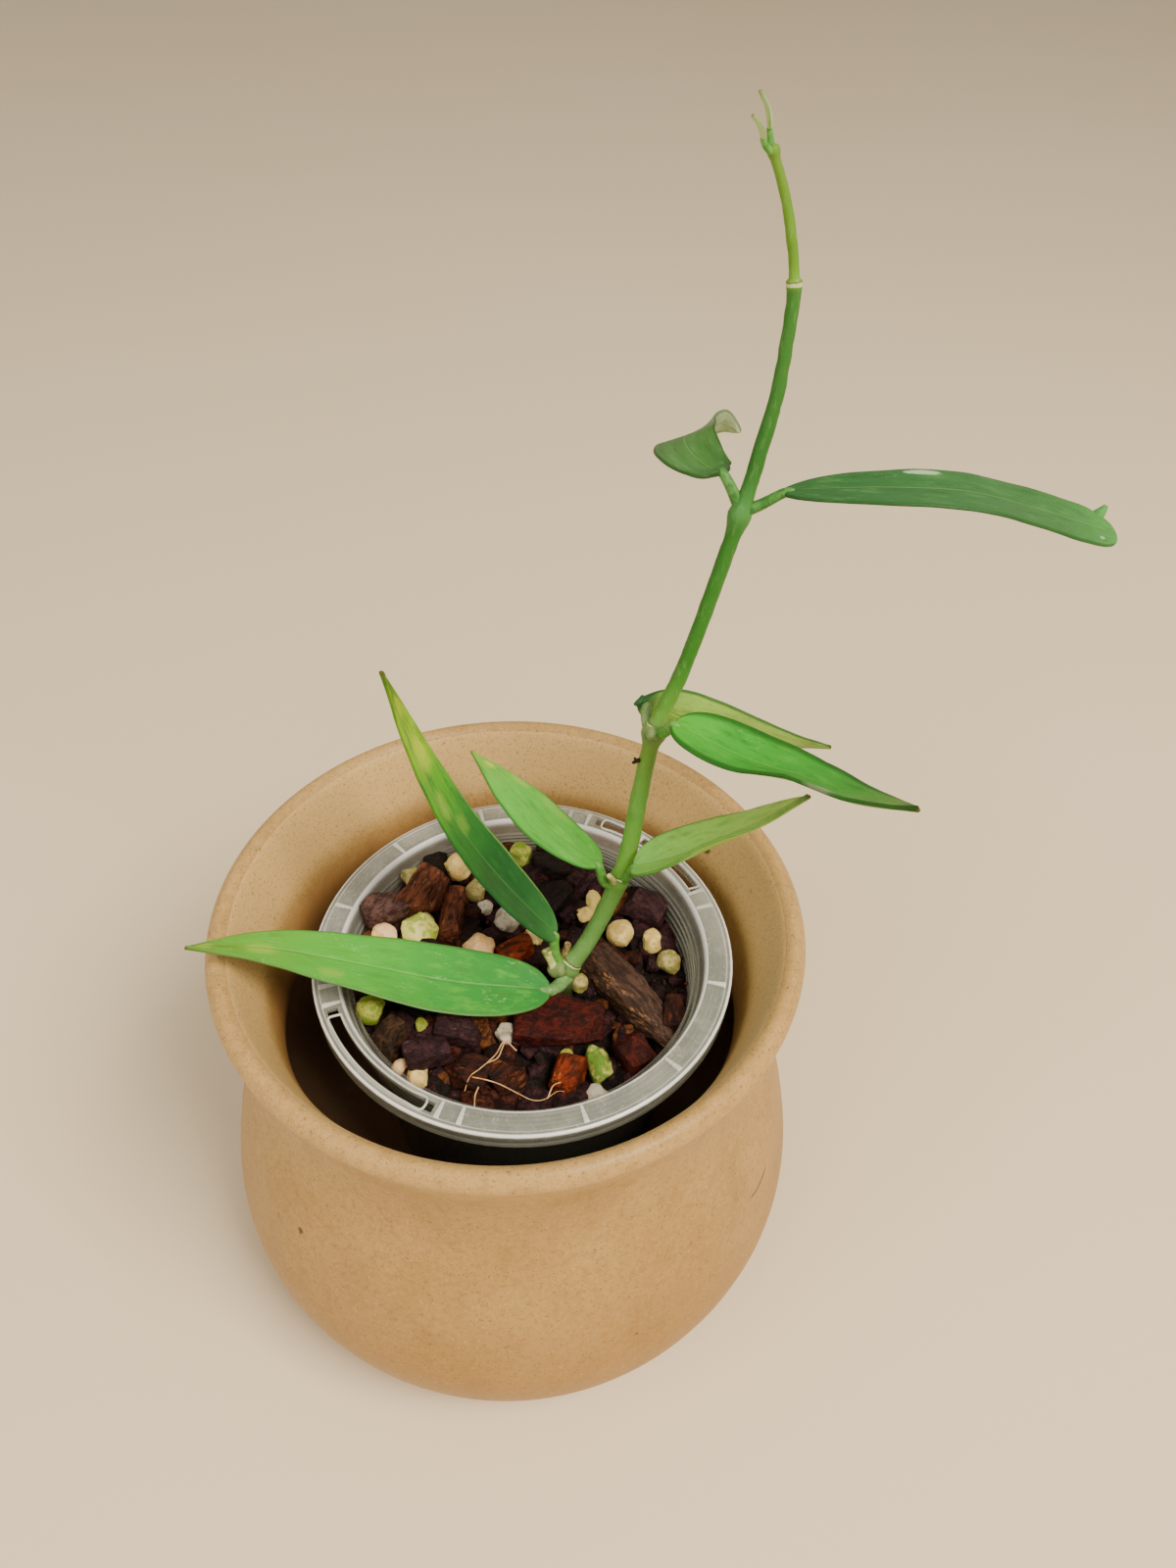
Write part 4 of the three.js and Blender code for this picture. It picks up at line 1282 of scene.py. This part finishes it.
@dataclass
class LooseLumps:
    """The stones and bark pieces on the mix, each hewn at its solid's place."""

    stones: str = ("OLIVE CREAM OLIVE LIME MOSSY PINK PINK GREY GREY OLIVE CREAM CREAM CREAM CREAM OLIVE "
                   "OLIVE LIME LIME GREY LIME PITTED GREY PINK CREAM")
    barks: tuple[tuple[str, float, float, float, float], ...] = (
        ("TAUPE", 9, 7.6, 6.6, 30), ("BROWN", 12, 8, 7.6, 70), ("BROWN", 12.4, 5.8, 5.6, 84),
        ("RUST", 7.2, 5.4, 5.4, 20), ("PLANK", 28.5, 7, 6.8, -56), ("MAROON", 17, 11, 6, -8),
        ("RUST", 8, 5.6, 6.4, 60), ("PURPLE", 8, 6.2, 5.6, 20), ("UMBER", 7, 6, 5.8, 50),
        ("PURPLE", 8.4, 5.4, 5, -15), ("DARK", 8.8, 6.6, 5.6, -20), ("DARK", 7, 6.4, 5.8, 35),
        ("PURPLE", 9, 5.8, 5.8, -30), ("MAROON", 7, 6, 5.6, -60), ("BLACK", 5, 5.6, 4.6, 10),
        ("BLACK", 6.6, 7.6, 5.2, 15), ("BLACK", 8, 8, 4.8, 50), ("DARK", 7.6, 4.4, 5.4, 80))
    stone_swell: float = 1.14
    stone_relief: float = 0.7
    pitted_relief: float = 1.6
    bark_swell: float = 1.1
    grain_shift: float = 31.7
    skins: dict[str, bpy.types.Material] = field(default_factory=dict)

    def pebble(self, node: str, seed: int, rough: float) -> Piece:
        """Model a stone from a ball with flats hewn off, as large as its solid.

        Args:
            node: The CAD node.
            seed: Its chance.
            rough: The height of its relief in mm.

        Returns:
            The stone.
        """
        low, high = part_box(node)
        bpy.ops.mesh.primitive_ico_sphere_add(subdivisions=2, radius=1.0, location=(0, 0, 0))
        piece = bpy.context.object
        hew(piece, random.Random(seed), 8, 0.66, 0.88)
        size = (high - low) / 2 * self.stone_swell
        piece.matrix_world = Matrix.Translation((low + high) / 2) @ Matrix.Diagonal((*size, 1.0))
        own_place(piece)
        subdivide(piece, 2)
        roughen(piece, 3.0, rough)
        roughen(piece, 0.9, rough * 0.25)
        apply_modifiers(piece)
        return piece

    def slab(self, node: str, seed: int, size: Point, turn: float) -> Piece:
        """Model a bark piece from a block with its corners hewn off, at its solid's place.

        Args:
            node: The CAD node.
            seed: Its chance.
            size: Its length, width and height in mm.
            turn: Its turn on the mix in degrees.

        Returns:
            The bark piece, which keeps its own directions for its grain.
        """
        low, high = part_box(node)
        piece = block(2, 0.12)
        hew(piece, random.Random(seed), 6, 0.78, 1.1)
        with editing(piece):
            if size[0] > 2.5 * size[1]:
                pick(piece, lambda place: place.x > 0.5)
                bpy.ops.transform.resize(value=(1, 0.55, 0.7))
            bpy.ops.mesh.select_all(action="SELECT")
            bpy.ops.transform.resize(value=mm(*size) / 2 * self.bark_swell, center_override=(0, 0, 0))
        marks = piece.data.attributes.new("own", "FLOAT_VECTOR", "POINT")
        for mark, vert in zip(marks.data, piece.data.vertices):
            mark.vector = vert.co / MM + Vector((self.grain_shift * seed, 0, 0))
        about = Matrix.Rotation(math.radians(turn), 4, "Z")
        piece.matrix_world = Matrix.Translation((low + high) / 2) @ about
        own_place(piece)
        subdivide(piece, 2, simple=True)
        subdivide(piece)
        roughen(piece, 4.0, 1.0)
        roughen(piece, 1.1, 0.35)
        apply_modifiers(piece)
        return piece

    def skin(self, finish: Stone | BarkSkin) -> bpy.types.Material:
        """Build a finish once and keep it."""
        if finish.name not in self.skins:
            self.skins[finish.name] = finish.material()
        return self.skins[finish.name]

    def build(self) -> None:
        """Make every stone and bark piece."""
        for at, kind in enumerate(self.stones.split(), 1):
            rough = self.pitted_relief if kind == "PITTED" else self.stone_relief
            piece = self.pebble(f"pumice_{at}", 100 + at, rough)
            hand_over(piece, f"stone_{at}", 75, (self.skin(Rock[kind].value),), (f"pumice_{at}",))
        for at, (kind, long, wide, high, turn) in enumerate(self.barks, 1):
            piece = self.slab(f"bark_{at}", at, (long, wide, high), turn)
            hand_over(piece, f"bark_lump_{at}", 45, (self.skin(Tree[kind].value),), (f"bark_{at}",))


@dataclass
class Roots:
    """Thin tan roots that lie on the mix at the front."""

    lines: tuple[tuple[Point, ...], ...] = (
        ((0.6, -22.3, 88.3), (-1.8, -20.8, 89.6), (-3.7, -24, 89.8), (-6.7, -27.3, 90.3), (-8.9, -29, 90),
         (-10, -31.2, 88.4)),
        ((-8.4, -29, 89.8), (-5.6, -30, 90.1), (-2.8, -31, 89.7), (0.6, -32.9, 89.2), (3.3, -34.4, 89),
         (5.7, -34.3, 88.8), (8.3, -32.7, 88.8), (9.9, -31.6, 87)),
        ((-1.8, -20.8, 89.4), (-2.4, -22.9, 90), (-3.4, -24.9, 89.8), (-6.2, -26.3, 89.5),
         (-8.2, -28.8, 87.4)),
        ((-7.2, -31.2, 89.6), (-7.9, -32.9, 89.2), (-8.1, -34.8, 88)),
        ((6.4, -34, 88.6), (7.6, -31.6, 89.2), (9.2, -30.2, 88.2)))
    radius: float = 0.125

    def build(self) -> None:
        """Make the roots as one piece."""
        pieces = [round_line(placed(line), [self.radius * (1.1 - 0.09 * at) for at in range(len(line))], 2)
                  for line in self.lines]
        skin = Fleshy("root_skin", "#c8935a", "#e2b67e", "#8c5c30", 0.6).material()
        hand_over(joined(pieces), "surface_roots", 60, (skin,))


# The plant.

@dataclass(frozen=True)
class Peg:
    """A short rough growth: its start and end in mm, its radius at shares of its length, and its chance."""

    start: Point
    end: Point
    rings: tuple[Pair, ...]
    seed: int

    def model(self) -> Piece:
        """Model the growth."""
        way = mm(*self.end) - mm(*self.start)
        piece = turned([(radius, way.length / MM * share) for radius, share in self.rings], 14)
        lean = way.to_track_quat("Z", "Y").to_matrix().to_4x4()
        piece.matrix_world = Matrix.Translation(mm(*self.start)) @ lean
        own_place(piece)
        with editing(piece, True):
            bpy.ops.transform.vertex_random(offset=0.16 * MM, seed=self.seed)
        subdivide(piece)
        apply_modifiers(piece)
        return piece


@dataclass
class Stem:
    """The climbing stem with its nodes, collars, cut stubs and buds."""

    path: tuple[tuple[float, float, float, float], ...] = (
        (9, -7.6, 66, 2.2), (10.4, -6, 79, 2.2), (12.3, -3, 89.5, 2.2), (15.3, -1.5, 94, 1.95),
        (18.1, 0, 98.9, 1.88), (22.7, 2, 111.1, 1.88), (24.9, 3.4, 120.9, 1.84), (26.2, 5, 131.3, 1.72),
        (28.9, 8, 148, 1.6), (32.9, 10, 158.6, 1.46), (36.5, 12, 170.3, 1.4), (42.1, 16, 190.5, 1.38),
        (44.4, 17.6, 200.5, 1.32), (46.3, 19.2, 210.1, 1.18), (47.1, 20.8, 219, 1.1), (47.2, 22, 226.8, 1.12),
        (45.1, 23.4, 236.7, 0.8), (41.7, 24, 245.2, 0.74))
    swellings: tuple[tuple[int, float, float, float], ...] = (
        (2, 0.6, 0.35, 1.1), (5, 0.8, 0.35, 1.4), (8, -0.6, 0.9, 1.8), (11, -1, 0.7, 2.2),
        (15, -0.4, 0.22, 0.9), (17, -0.6, 0.3, 0.8), (5, 2.5, 0.25, 0.6), (2, 2.2, 0.3, 0.6))
    collar_knot: int = 15
    shoot_radius: float = 0.82
    sides: int = 20
    step: float = 0.9
    growths: tuple[tuple[str, Fleshy, tuple[Peg, ...]], ...] = (
        ("pale_stubs", Fleshy("stub_skin", "#7c8a40", "#c6c47c", "#55602a", 0.6), (
            Peg((9.6, -4.8, 90.6), (7.9, -2.2, 95.6), (
                (1.3, 0), (1.05, 0.3), (0.95, 0.55), (1.1, 0.76), (1.4, 0.92), (1.45, 1), (1.0, 0.98),
                (0.5, 0.85)), 3),
            Peg((22.2, 1, 112.4), (20.4, -0.4, 116.6), ((0.9, 0), (0.8, 0.4), (0.6, 0.8), (0.5, 1)), 6))),
        ("node_buds", Fleshy("bud_skin", "#5c7440", "#7a8e54", "#40401f", 0.6), (
            Peg((28.6, 6.6, 147.9), (27.2, 4.9, 149.9), (
                (1.4, 0), (1.5, 0.35), (1.35, 0.7), (0.95, 0.9), (0.5, 1)), 8),
            Peg((11.6, -3.8, 91.3), (7.9, -4.6, 91), (
                (1.8, 0), (1.95, 0.35), (1.8, 0.7), (1.2, 0.92), (0.5, 1)), 12),
            Peg((28.9, 8, 146), (27.3, 6.7, 145.6), ((1.3, 0), (1.2, 0.4), (0.95, 0.75), (0.5, 1)), 9))),
        ("old_stub", Fleshy("old_scar", "#5f4c2c", "#a08a58", "#2c2012", 0.65), (
            Peg((10.9, -2.3, 91.4), (12.4, -1.3, 96.2), (
                (0.85, 0), (0.75, 0.5), (0.72, 0.85), (0.85, 0.98), (0.7, 1), (0.45, 0.98),
                (0.4, 0.7)), 4),)),
        ("dead_spur", Fleshy("dead_spur", "#1d140c", "#33241a", "#0e0906", 0.7), (
            Peg((26.3, 6.5, 141.9), (24.6, 5.3, 142.2), ((0.5, 0), (0.4, 0.5), (0.3, 1)), 5),
            Peg((25.5, 5.9, 142), (24.9, 5.3, 143.5), ((0.35, 0), (0.3, 0.5), (0.2, 1)), 7))))

    def points(self) -> list[Vector]:
        """Give the stem's points in metres."""
        return placed([knot[:3] for knot in self.path])

    def knots(self) -> list[float]:
        """Measure how far along the stem each point lies, in mm."""
        last = len(self.path) - 1
        return [length / MM for length in lengths_along(self.points(), [at / last for at in range(last + 1)])]

    def radius_at(self, along: float, knots: Sequence[float]) -> float:
        """Give the stem's radius in mm at a length along it."""
        radius = self.path[-1][3]
        for at in range(len(knots) - 1):
            if along <= knots[at + 1]:
                share = (along - knots[at]) / (knots[at + 1] - knots[at])
                radius = self.path[at][3] + (self.path[at + 1][3] - self.path[at][3]) * share
                break
        if along > knots[self.collar_knot] + 0.25:
            radius = min(radius, self.shoot_radius)
        for knot, past, extra, reach in self.swellings:
            radius += extra * math.exp(-((along - knots[knot] - past) / reach) ** 2)
        return radius

    def shaft(self, knots: Sequence[float]) -> Piece:
        """Model the stem straight, ring by ring, and bend it onto its line."""
        stations = {round(self.step * at, 3) for at in range(int(knots[-1] / self.step))} | {knots[-1]}
        for knot, past, _, reach in self.swellings:
            stations |= {round(knots[knot] + past + reach * share, 3)
                         for share in (-1, -0.6, -0.3, 0, 0.3, 0.6, 1)}
        rows = sorted(at for at in stations if 0 <= at <= knots[-1])
        end = (self.path[-1][3] * 0.6, knots[-1] + 0.3)
        piece = turned([*((self.radius_at(at, knots), at) for at in rows), end], self.sides)
        piece.rotation_euler = (0, math.pi / 2, 0)
        own_place(piece)
        marks = piece.data.attributes.new("along", "FLOAT", "POINT")
        marks.data.foreach_set("value", [vert.co.x / MM for vert in piece.data.vertices])
        roughen(piece, 2.0, 0.28)
        bent(piece, self.points())
        return piece

    def build(self) -> None:
        """Make the stem and the growths on it."""
        knots = self.knots()
        hand_over(self.shaft(knots), "climbing_stem", 60, (StemSkin().material(knots),), ("stem",))
        for name, skin, pegs in self.growths:
            hand_over(joined([peg.model() for peg in pegs]), name, 70, (skin.material(),))


@dataclass
class Leaf:
    """One fleshy leaf: a grid shaped flat, thickened, and bent onto its midrib."""

    node: str
    petiole: tuple[Point, ...]
    petiole_radius: float
    midrib: tuple[Point, ...]
    width: float
    fold: float
    rolls: tuple[float, ...]
    finish: LeafFinish
    joint: float = 0.0
    hook: tuple[Point, ...] = ()
    outline: Pair = (0.42, 0.95)
    columns: int = 46
    rows: int = 14
    thickness: float = 1.15
    edge_share: float = 0.55
    wave: float = 0.7
    stalk_colours: tuple[str, str, str] = ("#4d8c34", "#6aa148", "#356424")
    hook_radii: tuple[float, ...] = (1.3, 1.2, 0.8, 0.4)
    hook_colours: tuple[str, str, str] = ("#478a40", "#5a9c4a", "#3c7a36")

    def share(self, t: float) -> float:
        """Give the blade's width at a share of its length, as a share of its greatest."""
        rise, fall = self.outline
        peak = rise / (rise + fall)
        return t ** rise * (1 - t) ** fall / (peak ** rise * (1 - peak) ** fall)

    def half_width(self, t: float) -> float:
        """Give half the blade's width in mm at a share of its length."""
        t = min(max(t, 0.0001), 0.9999)
        least = self.petiole_radius * (1 - t) + 0.25
        return max(self.width / 2 * self.share(t), least * (1 if t < 0.985 else 0.55))

    def stations(self) -> list[float]:
        """List the columns' shares of the blade, closer together at its ends."""
        even = [at / self.columns for at in range(self.columns + 1)]
        return [0.35 * t + 0.65 * (0.5 - 0.5 * math.cos(math.pi * t)) for t in even]

    def blade(self) -> Piece:
        """Shape the blade."""
        start, unit = -3.0, 2.0 / self.columns
        bpy.ops.mesh.primitive_grid_add(x_subdivisions=self.columns, y_subdivisions=self.rows, size=2,
                                        location=(start + 1, 0, 0))
        piece = bpy.context.object
        piece.name = f"{self.node}_blade"
        own_place(piece)
        body = piece.vertex_groups.new(name="body")
        margin = piece.vertex_groups.new(name="margin")
        for vert in piece.data.vertices:
            off = abs(vert.co.y)
            body.add([vert.index], 1 - (1 - self.edge_share) * off ** 1.5, "REPLACE")
            margin.add([vert.index], off ** 3, "REPLACE")
        midrib = placed(self.midrib)
        shares = self.stations()
        tall = math.tan(math.radians(self.fold))
        with editing(piece):
            for row in range(self.rows + 1):
                across = -1 + 2 * row / self.rows
                pick(piece, lambda place, across=across: abs(place.y - across) < 0.01)
                bpy.ops.transform.translate(value=(0, 0, math.sqrt(across ** 2 + 0.03) - 0.17))
            for column, (t, along) in enumerate(zip(shares, lengths_along(midrib, shares))):
                at = start + unit * column
                pick(piece, lambda place, at=at: abs(place.x - at) < unit / 3)
                half = self.half_width(t) * MM
                bpy.ops.transform.resize(value=(1, half, half * tall), center_override=(at, 0, 0))
                bpy.ops.transform.translate(value=(along - at, 0, 0))
        roughen(piece, 9.0, self.wave, "margin")
        solid = piece.modifiers.new("flesh", "SOLIDIFY")
        solid.thickness = self.thickness * MM
        solid.offset = 0.0
        solid.vertex_group = "body"
        solid.material_offset = 1
        subdivide(piece)
        bent(piece, midrib, self.rolls)
        return piece

    def stalk(self) -> Piece:
        """Model the petiole up to just under the blade's base."""
        midrib = placed(self.midrib)
        ends = placed(self.petiole) + [flow(midrib, self.joint), flow(midrib, self.joint + 0.03)]
        radius = self.petiole_radius
        sizes = [radius * 1.15] + [radius] * (len(ends) - 3) + [radius * 0.85, radius * 0.3]
        return round_line(ends, sizes, 4)

    def build(self) -> None:
        """Make and dress the leaf."""
        length = lengths_along(placed(self.midrib), [1.0])[0] / MM
        blade, stalk = self.blade(), self.stalk()
        stalk.data.materials.append(Fleshy(f"{self.node}_stalk", *self.stalk_colours).material())
        for upper in (True, False):
            blade.data.materials.append(self.finish.material(self.node, length, self.width, upper))
        parts = [blade, stalk]
        if self.hook:
            parts.append(round_line(placed(self.hook), self.hook_radii))
            parts[-1].data.materials.append(Fleshy(f"{self.node}_tip", *self.hook_colours).material())
        hand_over(joined(parts), f"{self.node}_fine", 60, (), (self.node,))


def young_leaf(number: int, petiole: tuple[Point, ...], midrib: tuple[Point, ...], width: float,
               along: Stops) -> Leaf:
    """Describe one of the two small leaves at the tip.

    Args:
        number: Its number.
        petiole: The points of its petiole in mm.
        midrib: The points of its midrib in mm.
        width: Its width in mm.
        along: Its colours from base to tip.

    Returns:
        The leaf.
    """
    return Leaf(f"young_leaf_{number}", petiole, 0.5, midrib, width, 30, (0, 0, 0),
                LeafFinish(along, margin="#5f7a3a", flecks=0.0), outline=(0.4, 0.9), columns=14, rows=6,
                thickness=0.6, wave=0.05)


def leaves() -> list[Leaf]:
    """List the eight leaves and the two young ones, from the lowest up."""
    return [
        Leaf("leaf_1", ((12, -4, 88.4), (10, -6.8, 88.8)), 1.5,
             ((8, -9, 90.2), (-12, -9, 94.3), (-30.6, -8.4, 100.7), (-47.9, -9.2, 108.1),
              (-62.3, -13.3, 114.9)),
             16.9, 10, (-12, 3, 3),
             LeafFinish(((0.0, "#2a7834"), (0.3, "#389238"), (0.5, "#50ac38"), (0.7, "#62a832"),
                         (0.86, "#66932c"), (1.0, "#557a25")), flecks=1.0, mottle="#62b53c",
                        patches=(Patch(0.72, 0.55, 0.05, 0.2, "#a3c23c", 0.5),
                                 Patch(0.9, 0.5, 0.05, 0.3, "#a9bf45", 0.5),
                                 Patch(0.56, 0.8, 0.03, 0.12, "#9cc24a", 0.4))),
             stalk_colours=("#5a8646", "#78a062", "#46652f")),
        Leaf("leaf_2", ((11.4, -3.4, 90.5), (9.9, -3, 93.6), (9.4, -2.3, 97.3)), 1.05,
             ((9.6, -2, 99.8), (-0.6, 0.4, 113.3), (-9.6, 3.5, 127.9), (-16.3, 6.6, 144.5),
              (-21.6, 9.7, 162.7)),
             14.1, 13, (2, 9, 11),
             LeafFinish(((0.0, "#467f40"), (0.1, "#326a34"), (0.24, "#22582a"), (0.38, "#1f5427"),
                         (0.5, "#2a6e28"), (0.6, "#4c9620"), (0.76, "#86b010"), (0.9, "#5f8012"),
                         (1.0, "#4d5a20")), margin="#14401c", margin_width=0.04, margin_strength=0.5,
                        mottle="#2a6c2a", flecks=0.2,
                        patches=(Patch(0.5, 0.4, 0.03, 0.17, "#8ab03c", 0.35, 1.0),
                                 Patch(0.57, 0.62, 0.04, 0.2, "#a6c83c", 0.4, 1.0),
                                 Patch(0.7, 0.45, 0.06, 0.3, "#c3d42a", 0.5, 1.0),
                                 Patch(0.84, 0.5, 0.04, 0.3, "#b5c51e", 0.5),
                                 Patch(0.33, 0.03, 0.3, 0.03, "#7aa84c", 0.6)))),
        Leaf("leaf_3", ((22.4, 2, 110.6), (19.9, 1.7, 112.4)), 1.1,
             ((18.6, 2, 116.8), (9.8, 10.4, 118.3), (3.3, 20.6, 118.3), (-2.1, 31.4, 116.4),
              (-7.4, 42.6, 112.9)),
             11.9, 6, (9, 10, 23),
             LeafFinish(((0.0, "#529c36"), (0.5, "#60b83e"), (0.78, "#7cc63e"), (0.9, "#9cd430"),
                         (1.0, "#5f8c2a")), margin="#2b6a28", margin_strength=0.7, mottle="#74c24c",
                        flecks=0.25, patches=(Patch(0.76, 0.45, 0.05, 0.2, "#e6e03c", 0.7),
                                              Patch(0.6, 0.15, 0.07, 0.1, "#b0cf4a", 0.55),
                                              Patch(0.4, 0.12, 0.12, 0.1, "#98c04e", 0.45)))),
        Leaf("leaf_4", ((22.6, 2, 111.4), (24.4, 0.6, 114.8)), 1.1,
             ((25.3, -2, 120.2), (33.2, -5.5, 126.6), (40.2, -8.9, 134.5), (46.7, -12.9, 143.2),
              (53.2, -15.7, 152.4)),
             12.5, 27, (8, -8, 2),
             LeafFinish(((0.0, "#7abc56"), (0.5, "#a2d25c"), (0.85, "#b0c864"), (1.0, "#5b4a26")),
                        margin="#3a7026", flecks=0.2)),
        Leaf("leaf_5", ((28.9, 8, 147.6), (30.2, 4.6, 150.4)), 1.1,
             ((31.3, 2, 154.4), (42.7, -6.6, 153.1), (51.7, -15.1, 155.7), (58, -25.5, 160.5),
              (63.5, -36.1, 168.7)),
             14.1, 21, (9, -18, -4),
             LeafFinish(((0.0, "#4ca628"), (0.25, "#3c9a2c"), (0.6, "#3a8c2a"), (0.85, "#5c8c38"),
                         (1.0, "#3d3f22")), margin="#1b4618", margin_width=0.19, margin_strength=0.8,
                        flecks=0.3, mottle="#57a836", patches=(Patch(0.62, 0.04, 0.05, 0.1, "#e6e2c4"),))),
        Leaf("leaf_6", ((28.4, 8.6, 146.6), (27.6, 10.4, 148.6)), 1.15,
             ((26.2, 13.8, 150.6), (31.6, 16.2, 146.6), (38, 19, 141), (48.5, 23.5, 133), (60, 28, 126),
              (73.5, 32.5, 120)),
             13, 13, (-76, -66, -59),
             LeafFinish(((0.0, "#245232"), (0.09, "#3a6e40"), (0.2, "#7ba846"), (0.4, "#9ac654"),
                         (0.75, "#8ab048"), (1.0, "#525f28")),
                        ((0.0, "#b4e06c"), (0.3, "#d2f47e"), (0.75, "#bce06a"), (1.0, "#6a7a36")),
                        margin="#2c5a28", margin_width=0.09, margin_strength=0.9, flecks=0.0,
                        mottle="#86ac4a", glow=0.4), joint=0.07, outline=(0.75, 0.95),
             stalk_colours=("#64824a", "#7e9a5e", "#4a6236")),
        Leaf("leaf_7", ((42.1, 16, 190.1), (45.2, 15.2, 192)), 1,
             ((48.7, 14, 194.9), (64, 10.6, 197), (78.4, 10, 196.3), (90.6, 10.6, 192.8), (100, 10.8, 189.7),
              (107.6, 10.9, 187.2)),
             12.8, 7, (4, 0, 15),
             LeafFinish(((0.0, "#2d5a2c"), (0.3, "#336233"), (0.65, "#3d6e36"), (0.88, "#4a8a40"),
                         (1.0, "#4f9042")), margin="#244a20", mottle="#4c7f44", flecks=0.2,
                        patches=(Patch(0.355, 0.9, 0.034, 0.05, "#b0caa4", 0.7, 0.4),
                                 Patch(0.83, 0.2, 0.016, 0.04, "#a8c89c", 0.6, 0.4))),
             outline=(0.42, 0.38), stalk_colours=("#356b2c", "#4f8a3c", "#27501f"),
             hook=((104.6, 14.6, 187.4), (105.3, 14.6, 189), (105.9, 14.6, 190.1), (106.2, 14.6, 191))),
        Leaf("leaf_8", ((42.1, 16, 190.1), (40.2, 17, 194)), 1,
             ((38.6, 18.3, 196.4), (36.5, 20.4, 195.8), (34.1, 25.2, 196.1), (34.1, 31.1, 195.8),
              (37.6, 36, 194.8), (41.9, 38.7, 195.4), (45.2, 37.4, 194.1)),
             12, 3, (10, 7, -21, -62, -81),
             LeafFinish(((0.0, "#2f5426"), (0.3, "#3d6c2e"), (0.54, "#4a7436"), (0.66, "#9cae86"),
                         (1.0, "#b2bf9a")), ((0.0, "#8ba062"), (0.6, "#b4c494"), (1.0, "#b4c29a")),
                        margin="#263f1c", mottle="#56824a", flecks=0.15, glow=0.25), outline=(0.36, 0.75),
             stalk_colours=("#3c7030", "#568c42", "#2a5222")),
        young_leaf(1, ((41.7, 24.5, 245), (41.4, 24.8, 246.2)),
                   ((41.1, 24.9, 247.4), (40.4, 25.1, 250), (39.2, 25.3, 252.2)), 1.9,
                   ((0.0, "#a0be6e"), (0.6, "#a0b67c"), (1.0, "#6f7a48"))),
        young_leaf(2, ((41.3, 23.4, 244.8), (40.4, 22.8, 245.7)),
                   ((39.8, 22.5, 246.7), (38.9, 22.4, 248.6), (37.9, 22.3, 249.8)), 1.7,
                   ((0.0, "#a4c070"), (0.6, "#a6ba80"), (1.0, "#848c5a")))]


# The studio.

@dataclass
class Studio:
    """A pale floor, soft lights and the camera at the photograph's angle."""

    camera_at: Point = (0.0, -160.6, 295.0)
    pitch: float = 43.47
    yaw: float = 5.57
    roll: float = 1.93
    lens: float = 27.05
    floor_size: float = 8.0
    floor_middle: Point = (0.0, 1.5, 0.0)
    aim: Point = (0.01, 0.0, 0.1)
    lamps: tuple[tuple[str, Point, float, float, str], ...] = (
        ("key_lamp", (0.5, -0.5, 1.1), 0.5, 22.5, "#fff3e2"),
        ("fill_lamp", (-0.7, -0.6, 0.8), 0.8, 6.0, "#fffaf2"))
    air_colour: str = "#f6eee0"
    air_strength: float = 0.55

    def camera(self) -> None:
        """Set the camera up."""
        pitch, yaw, roll = (math.radians(angle) for angle in (self.pitch, self.yaw, self.roll))
        ahead = Vector((math.sin(yaw) * math.cos(pitch), math.cos(yaw) * math.cos(pitch), -math.sin(pitch)))
        right = Vector((math.cos(yaw), -math.sin(yaw), 0))
        up = right.cross(ahead)
        across = math.cos(roll) * right + math.sin(roll) * up
        upright = math.cos(roll) * up - math.sin(roll) * right
        data = bpy.data.cameras.new("camera")
        data.lens = self.lens
        data.sensor_width = 36.0
        data.clip_start = 0.01
        camera = bpy.data.objects.new("camera", data)
        turn = Matrix((across, upright, -ahead)).transposed().to_4x4()
        camera.matrix_world = Matrix.Translation(mm(*self.camera_at)) @ turn
        bpy.context.scene.collection.objects.link(camera)
        bpy.context.scene.camera = camera

    def lamp(self, name: str, place: Point, size: float, power: float, colour: str) -> None:
        """Hang a soft square lamp that looks at the plant.

        Args:
            name: The lamp's name.
            place: Its place in metres.
            size: Its side in metres.
            power: Its power in watts.
            colour: Its colour.
        """
        data = bpy.data.lights.new(name, "AREA")
        data.size = size
        data.energy = power
        data.color = tint(colour)[:3]
        lamp = bpy.data.objects.new(name, data)
        way = Vector(self.aim) - Vector(place)
        lamp.matrix_world = Matrix.Translation(place) @ way.to_track_quat("-Z", "Y").to_matrix().to_4x4()
        bpy.context.scene.collection.objects.link(lamp)

    def floor(self) -> None:
        """Lay the pale floor."""
        bpy.ops.mesh.primitive_plane_add(size=self.floor_size, location=self.floor_middle)
        floor = bpy.context.object
        floor.name = "floor"
        own_place(floor)
        made = Recipe("pale_floor", Specular_IOR_Level=0.2)
        floor.data.materials.append(made.done(made.blend(made.noise(400, 2), "#e8d3ae", "#ecdcbe"), 0.8))

    def build(self) -> None:
        """Make the studio."""
        self.floor()
        self.camera()
        for lamp in self.lamps:
            self.lamp(*lamp)
        world = bpy.data.worlds.new("studio_air")
        world.use_nodes = True
        air = world.node_tree.nodes["Background"].inputs
        air[0].default_value = tint(self.air_colour)
        air[1].default_value = self.air_strength
        bpy.context.scene.world = world


def main() -> None:
    """Build the studio and every part of the potted plant in order."""
    logging.basicConfig(level=logging.INFO, format="%(name)s %(message)s")
    bpy.ops.object.select_all(action="DESELECT")
    Studio().build()
    StonewarePot().build()
    GrowingPot().build()
    PottingMix().build(random.Random(41))
    LooseLumps().build()
    Roots().build()
    Stem().build()
    for leaf in leaves():
        leaf.build()


if __name__ == "__main__":
    main()
